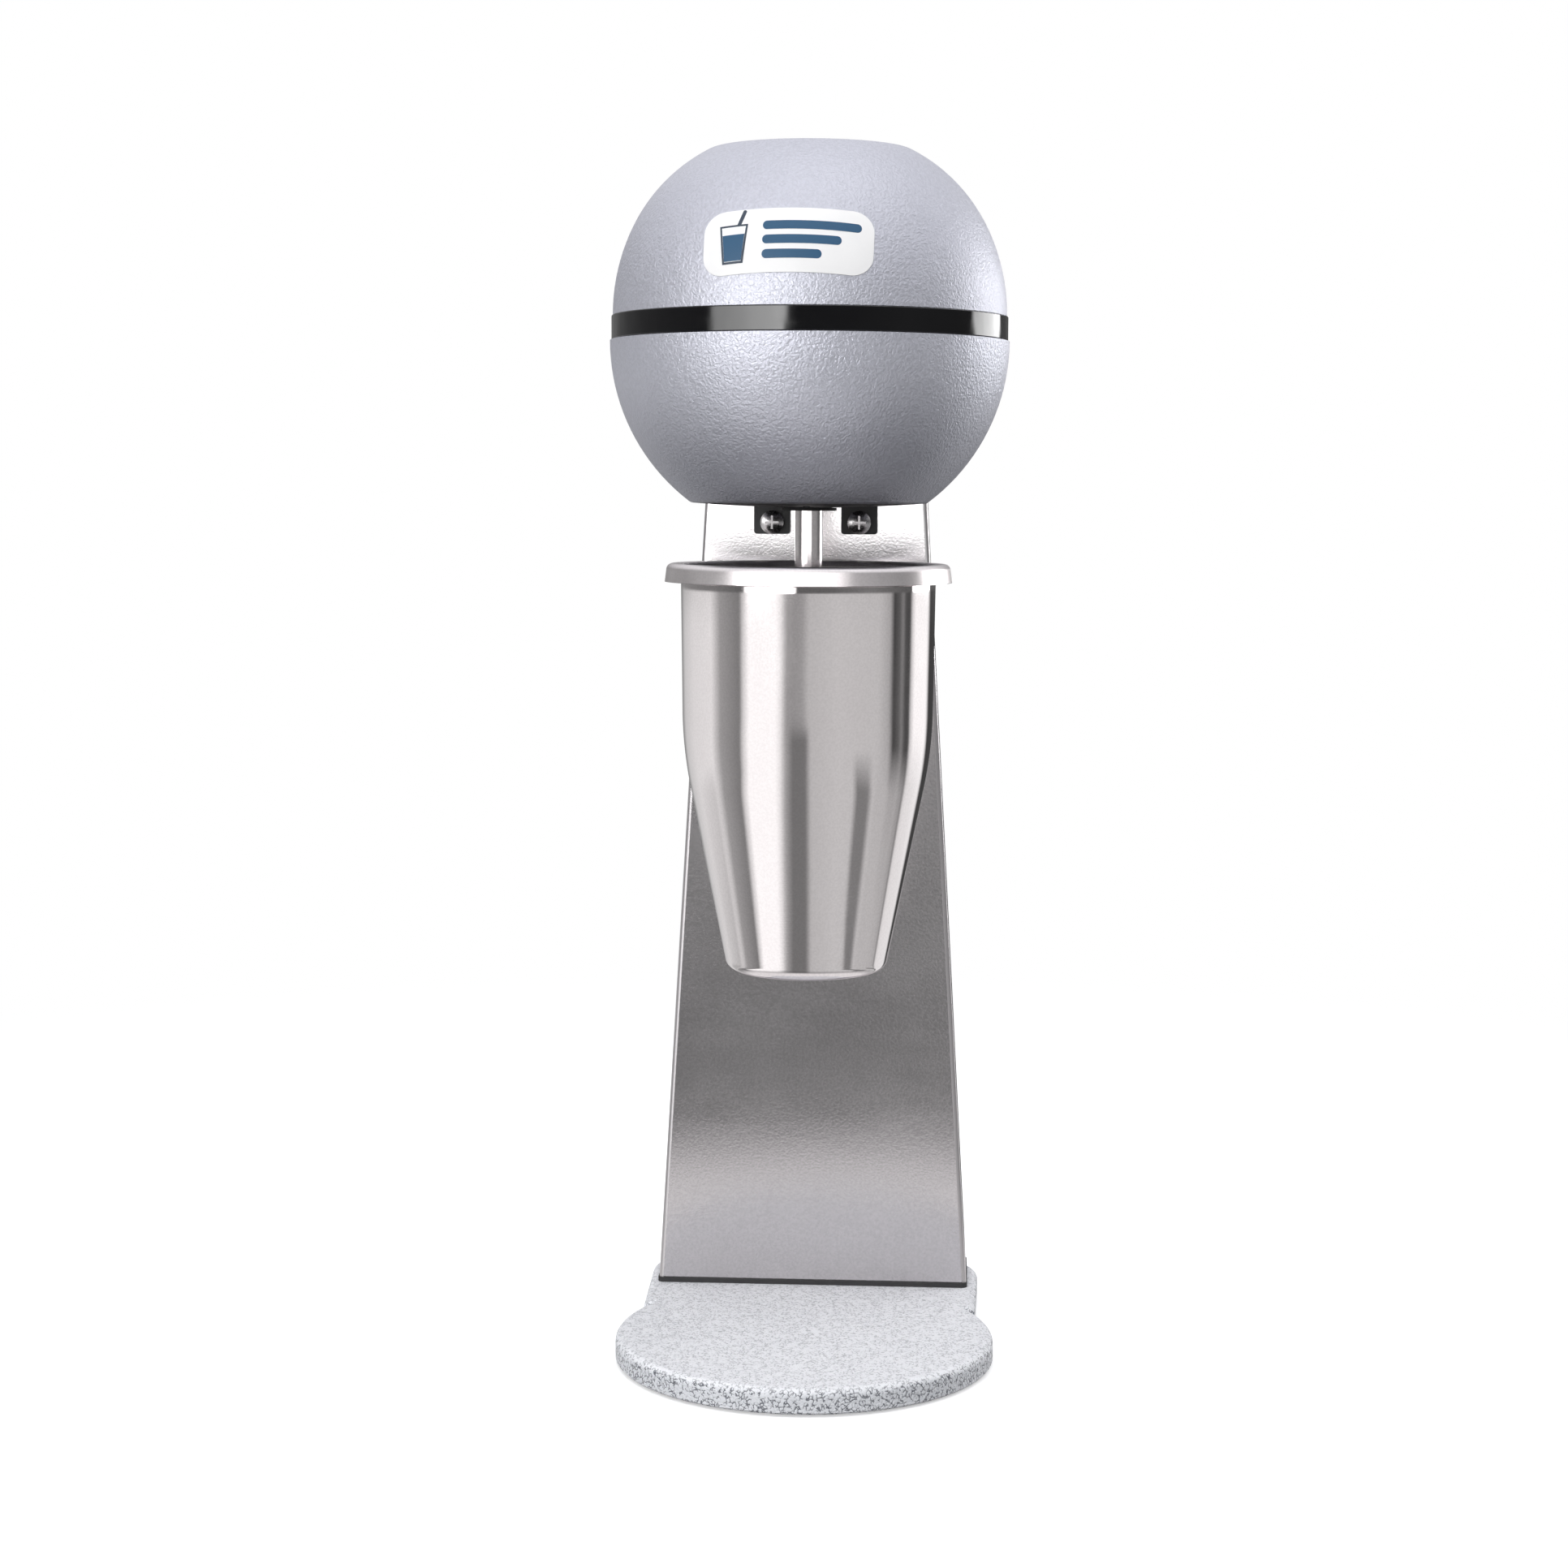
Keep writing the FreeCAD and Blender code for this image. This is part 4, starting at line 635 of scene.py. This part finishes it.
def label_pieces():
    """White label with a plain drawing of a tumbler and straw, and three bars."""
    film = bmesh.new()
    patch(film, rounded(LABEL_WIDTH, LABEL_HEIGHT, LABEL_CORNER), 0.0, FILM)
    finished("front_label", film, FINISHES["badge_film"], "root", ["front_badge"])

    dark = bmesh.new()
    patch(dark, tumbler(5.4, 6.5, 3.9, -8.5), FILM, INK)
    straw_place = ((TUMBLER_X + 2.6) * MM, 8 * MM)
    patch(dark, rounded(1.4 * MM, 9 * MM, 0.6 * MM, straw_place, turn=-0.35, steps=3), FILM, INK)
    dark_ink = print_ink("label_ink_dark", (0.030, 0.045, 0.070))
    finished("label_drawing", dark, dark_ink, "root")

    pale = bmesh.new()
    patch(pale, tumbler(4.6, 5.7, 3.2, -7.7), INK, INK + INK_LAYER)
    pale_ink = print_ink("label_ink_pale", (0.80, 0.81, 0.82))
    finished("label_glass", pale, pale_ink, "root")

    blue = bmesh.new()
    patch(blue, tumbler(4.2, 2.6, 3.2, -7.5), INK + INK_LAYER, INK + 2 * INK_LAYER)
    for y, length in BARS:
        place = ((length / 2 + BARS_LEFT) * MM, y * MM)
        patch(blue, rounded(length * MM, 3.4 * MM, 1.6 * MM, place), FILM, INK)
    blue_ink = print_ink("label_ink_blue", (0.012, 0.075, 0.16))
    finished("label_bars", blue, blue_ink, "root")


# ---------------------------------------------------------------- switch

def circle(radius, count=40):
    """Points of a circle about the origin."""
    angles = [2 * math.pi * number / count for number in range(count)]
    return [(radius * math.cos(angle), radius * math.sin(angle)) for angle in angles]


def rocker_marks():
    """Bar and ring on the two halves of the rocker, which tip with it.

    Each half of the face rises from the pivot's line outwards, and the rocker rests tipped.
    """
    joint = next(row for row in frame["record"]["behaviour"]["joints"] if row["name"] == "rocker_tilt")
    pivot = Vector(joint["pos_m"])
    ink = print_ink("rocker_ink", (0.78, 0.78, 0.77))
    tip = math.radians(joint["range_deg"][1] / 2)
    half_face_mm, end_rise_mm = 7.4, 2.1
    rise = math.atan2(end_rise_mm, half_face_mm)
    mark_out, mark_high = 3.7 * MM, 3.95 * MM
    lifts = (-0.1 * MM, 0.06 * MM)
    bar = [[(-0.3 * MM, -1.7 * MM), (0.3 * MM, -1.7 * MM), (0.3 * MM, 1.7 * MM), (-0.3 * MM, 1.7 * MM)]]
    ring = [circle(1.6 * MM), circle(1.05 * MM)]
    for name, side, outlines in (("rocker_bar", -1, bar), ("rocker_ring", 1, ring)):
        along = Vector((math.cos(side * rise - tip), math.sin(side * rise - tip), 0))
        out = Vector((-along.y, along.x, 0))
        up = Vector((0, 0, 1))
        middle = Vector((side * mark_out, mark_high, 0))
        middle.rotate(Matrix.Rotation(-tip, 3, "Z"))
        made = bmesh.new()
        levels = [[[made.verts.new(pivot + middle + along * u + up * v + out * lift) for u, v in outline]
                   for outline in outlines] for lift in lifts]
        for low, high in zip(*levels):
            bridge(made, low, high, len(low))
        for level in levels:
            if len(level) == 1:
                made.faces.new(level[0])
            else:
                bridge(made, *level, len(level[0]))
        finished(name, made, ink, "rocker")


# ---------------------------------------------------------------- stage

def direction_angles(tree):
    """Azimuth, 0 to 1 with the front at a half and rising to the right, and height, 0 to 1."""
    split = new_node(tree, "ShaderNodeSeparateXYZ")
    feed(tree, split.inputs[0], new_node(tree, "ShaderNodeTexCoord").outputs["Generated"])
    x, y, z = split.outputs
    angle = worked_out(tree, "ARCTAN2", x, worked_out(tree, "MULTIPLY", y, -1.0))
    azimuth = worked_out(tree, "MULTIPLY_ADD", angle, 1 / (2 * math.pi), 0.5)
    return azimuth, worked_out(tree, "MULTIPLY_ADD", z, 0.5, 0.5)


def degrees(*stops):
    """Stops given by azimuth, in degrees from the front and rising to the right."""
    return [((angle + 180) / 360, level) for angle, level in stops]


def heights(*stops):
    """Stops given by height above the horizon in degrees."""
    return [((math.sin(math.radians(angle)) + 1) / 2, level) for angle, level in stops]


def ramp(tree, value, stops):
    """Grey levels along a value. A stop is (value, brightness)."""
    made = new_node(tree, "ShaderNodeValToRGB")
    tree.links.new(value, made.inputs[0])
    points = made.color_ramp.elements
    while len(points) < len(stops):
        points.new(0.5)
    for point, (place, level) in zip(points, stops):
        point.position = place
        point.color = (level, level, level, 1)
    return made.outputs["Color"]


def mixed(tree, kind, first, second, factor=1.0):
    """Two colours or levels brought together without a limit on their brightness."""
    made = new_node(tree, "ShaderNodeMix", data_type="RGBA", blend_type=kind, clamp_result=False)
    feed(tree, made.inputs["Factor"], factor)
    for socket, value in ((made.inputs[6], first), (made.inputs[7], second)):
        feed(tree, socket, (value, value, value) if isinstance(value, float) else value)
    return made.outputs[2]


def studio():
    """Dim room with two bright windows, a pale ceiling, and a table that shows their strips."""
    world = bpy.data.worlds.new("studio")
    bpy.context.scene.world = world
    world.use_nodes = True
    tree = world.node_tree
    azimuth, height = direction_angles(tree)
    window_strength, lamp_strength, ceiling_strength = 8.6, 0.3, 1.06
    glow_strength, matt_share = 0.38, 0.38

    def product(*values):
        result = values[0]
        for value in values[1:]:
            result = mixed(tree, "MULTIPLY", result, value)
        return result

    def total(first, second):
        return mixed(tree, "ADD", first, second)

    def level_by_azimuth(*stops):
        return ramp(tree, azimuth, degrees(*stops))

    def level_by_height(*stops):
        return ramp(tree, height, heights(*stops))

    # Below the horizon the strips draw together, so that they run straight down a cone.
    gather = level_by_height((-90, 0.57), (-32.4, 0.57), (-30.5, 0.72), (-28.3, 0.86), (-19, 0.95), (-6, 1.0),
                             (90, 1.0))
    from_front = worked_out(tree, "SUBTRACT", azimuth, 0.5)
    gathered = worked_out(tree, "MULTIPLY_ADD", from_front, gather, 0.5)

    def strips(*stops):
        return ramp(tree, gathered, degrees(*stops))

    table = strips(
        (-180, 0.10), (-160, 0.36), (-149, 0.68), (-125, 0.90), (-96, 0.98), (-84, 0.42), (-62, 0.26),
        (-57, 0.95), (-21, 0.95), (-16, 0.42), (-9, 0.38), (-2, 0.42), (4, 0.62), (30, 0.70), (70, 0.66),
        (82, 0.50), (87, 0.07), (94, 0.14), (98, 0.28), (102, 0.10), (108, 0.08), (112, 0.9), (143, 0.9),
        (149, 0.06))
    left_glow = strips((-180, 0), (-56, 0), (-52, 1), (-26, 1), (-20, 0), (180, 0))
    right_glow = strips((-180, 0), (113, 0), (117, 1), (139, 1), (145, 0))
    right_glow = product(right_glow, level_by_height((-90, 0), (-16, 0.2), (-8, 1), (90, 1)))
    table = total(table, product(total(left_glow, right_glow), glow_strength))

    # Where both the azimuth and the height are in range, the table is brought to a level.
    for level, across, upright in (
            (0.22, ((-15, 0), (-10, 1), (1, 1), (6, 0)), ((-50, 0), (-46, 1), (-12, 1), (-6, 0))),
            (0.54, ((-135, 0), (-122, 1), (-100, 1), (-90, 0)), ((-50, 0), (-46, 1), (-24, 1), (-14, 0))),
            (0.62, ((66, 0), (72, 1), (106, 1), (111, 0)), ((-50, 0), (-46, 1), (-24, 1), (-12, 0))),
            (0.26, ((44, 0), (49, 1), (60, 1), (66, 0)), ((-40, 0), (-36, 1), (-24, 1), (-14, 0))),
            (0.24, ((88, 0), (93, 1), (103, 1), (110, 0)), ((-40, 0), (-36, 1), (-29, 1), (-24, 0)))):
        share = product(strips((-180, 0), *across, (180, 0)), level_by_height((-90, 0), *upright, (90, 0)))
        table = mixed(tree, "MIX", table, level, share)

    walls = level_by_azimuth((-180, 0.15), (-150, 0.3), (-90, 0.22), (-60, 0.15), (20, 0.15), (60, 0.22),
                             (100, 0.14), (180, 0.15))
    windows = level_by_azimuth((-180, 0), (-57, 0), (-53, 0.5), (-12, 1), (-8, 0), (110, 0), (114, 0.7),
                               (142, 0.7), (146, 0))
    windows = product(windows, level_by_height((-90, 0), (-3, 0), (-1, 1), (20, 1), (30, 0)))
    blind = product(level_by_azimuth((-180, 0), (60, 0), (100, 1), (160, 1), (180, 0)),
                    level_by_height((-90, 0), (9, 0), (17, 1), (90, 1)))
    windows = product(windows, mixed(tree, "MIX", 1.0, 0.4, blind))
    lamp = product(level_by_azimuth((-180, 0), (-20, 0), (-8, 1), (14, 1), (30, 0), (180, 0)),
                   level_by_height((-90, 0), (6, 0), (11, 1), (30, 1), (42, 0)))
    room = total(total(walls, product(windows, window_strength)), product(lamp, lamp_strength))
    ceiling = product((1.0, 1.0, 1.03), level_by_height((-90, 1), (50, 1), (75, 0.8)), ceiling_strength)
    room = mixed(tree, "MIX", room, ceiling, level_by_height((-90, 0), (9, 0), (25, 0.7), (40, 1)))

    # Matt surfaces see a dimmer table, and the camera sees plain white.
    ray = new_node(tree, "ShaderNodeLightPath").outputs
    table = mixed(tree, "MIX", table, product(table, matt_share), ray["Is Diffuse Ray"])
    seen = mixed(tree, "MIX", table, room, level_by_height((-90, 0), (-3, 0), (-1, 1), (90, 1)))
    under = level_by_height((-90, 1), (-50, 1), (-33, 0))
    seen = mixed(tree, "MIX", seen, (0.04, 0.04, 0.045), under)
    seen = mixed(tree, "MIX", seen, (1.0, 1.0, 1.0), ray["Is Camera Ray"])
    background = tree.nodes["Background"].inputs
    tree.links.new(seen, background["Color"])
    background["Strength"].default_value = 1.0


def shader_mix(tree, factor, first, second):
    made = new_node(tree, "ShaderNodeMixShader")
    for socket, value in zip(made.inputs, (factor, first, second)):
        tree.links.new(value, socket)
    return made.outputs[0]


def away_from_middle(tree, start, end):
    """0 near the sheet's own origin, rising to 1 between two distances from it."""
    length = new_node(tree, "ShaderNodeVectorMath", operation="LENGTH")
    tree.links.new(new_node(tree, "ShaderNodeTexCoord").outputs["Object"], length.inputs[0])
    share = new_node(tree, "ShaderNodeMapRange", interpolation_type="SMOOTHSTEP")
    share.inputs["From Min"].default_value = start
    share.inputs["From Max"].default_value = end
    tree.links.new(length.outputs["Value"], share.inputs["Value"])
    return share.outputs[0]


def stage_sheet(name, mesh_data, place):
    """A sheet of the stage with an empty material, and that material's nodes."""
    mesh = bpy.data.meshes.new(name)
    mesh_data.to_mesh(mesh)
    mesh_data.free()
    material = bpy.data.materials.new(name)
    material.use_nodes = True
    mesh.materials.append(material)
    sheet = bpy.data.objects.new(name, mesh)
    sheet.location = place
    bpy.context.scene.collection.objects.link(sheet)
    return sheet, material.node_tree


def stage_floor():
    """Pale floor that fades into the white behind it, and can't be seen from below."""
    grid = bmesh.new()
    bmesh.ops.create_grid(grid, x_segments=24, y_segments=24, size=6)
    floor, tree = stage_sheet("floor", grid, (0, 0, 0))
    floor.visible_glossy = False
    floor.visible_diffuse = False
    matt = tree.nodes["Principled BSDF"]
    for name, value in (("Base Color", (0.93, 0.93, 0.93)), ("Roughness", 0.9), ("Specular IOR Level", 0.0),
                        ("Emission Color", (1.0, 1.0, 1.0)), ("Emission Strength", 0.35)):
        feed(tree, matt.inputs[name], value)
    plain = new_node(tree, "ShaderNodeEmission").outputs[0]
    surface = shader_mix(tree, away_from_middle(tree, 0.25, 0.9), matt.outputs[0], plain)
    clear = new_node(tree, "ShaderNodeBsdfTransparent").outputs[0]
    below = new_node(tree, "ShaderNodeNewGeometry").outputs["Backfacing"]
    surface = shader_mix(tree, below, surface, clear)
    tree.links.new(surface, tree.nodes["Material Output"].inputs["Surface"])


def reflector(name, mesh_data, place, strength, fade=None):
    """Bright surface that only reflections show. fade says where it thins out from its middle."""
    sheet, tree = stage_sheet(name, mesh_data, place)
    sheet.visible_camera = False
    sheet.visible_diffuse = False
    sheet.visible_shadow = False
    glow = new_node(tree, "ShaderNodeEmission")
    feed(tree, glow.inputs["Color"], (1.0, 0.985, 0.99))
    feed(tree, glow.inputs["Strength"], strength)
    surface = glow.outputs[0]
    if fade:
        clear = new_node(tree, "ShaderNodeBsdfTransparent").outputs[0]
        surface = shader_mix(tree, away_from_middle(tree, *fade), surface, clear)
    tree.links.new(surface, tree.nodes["Material Output"].inputs["Surface"])


def reflectors():
    """The table close to the base, and a card in front of the column's top."""
    table = bmesh.new()
    bmesh.ops.create_circle(table, cap_ends=True, segments=64, radius=0.3)
    reflector("table_sheen", table, (AXIS.x, AXIS.y, 0.4 * MM), strength=0.95, fade=(0.14, 0.25))
    left, right, tall = -70 * MM, 60 * MM, 22 * MM
    corners = ((left, 0), (right, 0), (right, tall), (left, tall))
    card = bmesh.new()
    card.faces.new([card.verts.new((x, 0, z)) for x, z in corners])
    reflector("front_card", card, (AXIS.x, AXIS.y - 120 * MM, cup_high.z + 1 * MM), strength=2.2)


def soft_light(name, place, target, size, power):
    """Area light that the camera doesn't see."""
    data = bpy.data.lights.new(name, "AREA")
    data.shape = "RECTANGLE"
    data.size, data.size_y = size
    data.energy = power
    lamp = bpy.data.objects.new(name, data)
    lamp.location = place
    lamp.rotation_euler = (Vector(target) - Vector(place)).to_track_quat("-Z", "Y").to_euler()
    lamp.visible_camera = False
    bpy.context.scene.collection.objects.link(lamp)


def camera():
    """Front view from a little above the cup's rim, a touch to the right of the middle."""
    distance, eye_height = 1.124, 0.3502
    turn, yaw, pitch, roll = (math.radians(angle) for angle in (2.8, 0.47, 5.889, 0.28))
    data = bpy.data.cameras.new("camera")
    data.sensor_width = 36
    data.lens = 65.2
    data.clip_start, data.clip_end = 0.01, 50
    eye = bpy.data.objects.new("camera", data)
    eye.location = (AXIS.x + distance * math.sin(turn), AXIS.y - distance * math.cos(turn), eye_height)
    aim = Matrix.Rotation(turn + yaw, 3, "Z") @ Matrix.Rotation(math.pi / 2 - pitch, 3, "X")
    eye.rotation_euler = (aim @ Matrix.Rotation(roll, 3, "Z")).to_euler()
    bpy.context.scene.collection.objects.link(eye)
    bpy.context.scene.camera = eye


finish_cad_nodes()
cup_piece()
spring_piece()
label_pieces()
rocker_marks()
studio()
stage_floor()
reflectors()
soft_light("ceiling", place=(0.1, -0.3, 1.9), target=(0, 0, 0.2), size=(1.6, 1.6), power=5)
camera()
bpy.context.scene.view_settings.view_transform = "Standard"
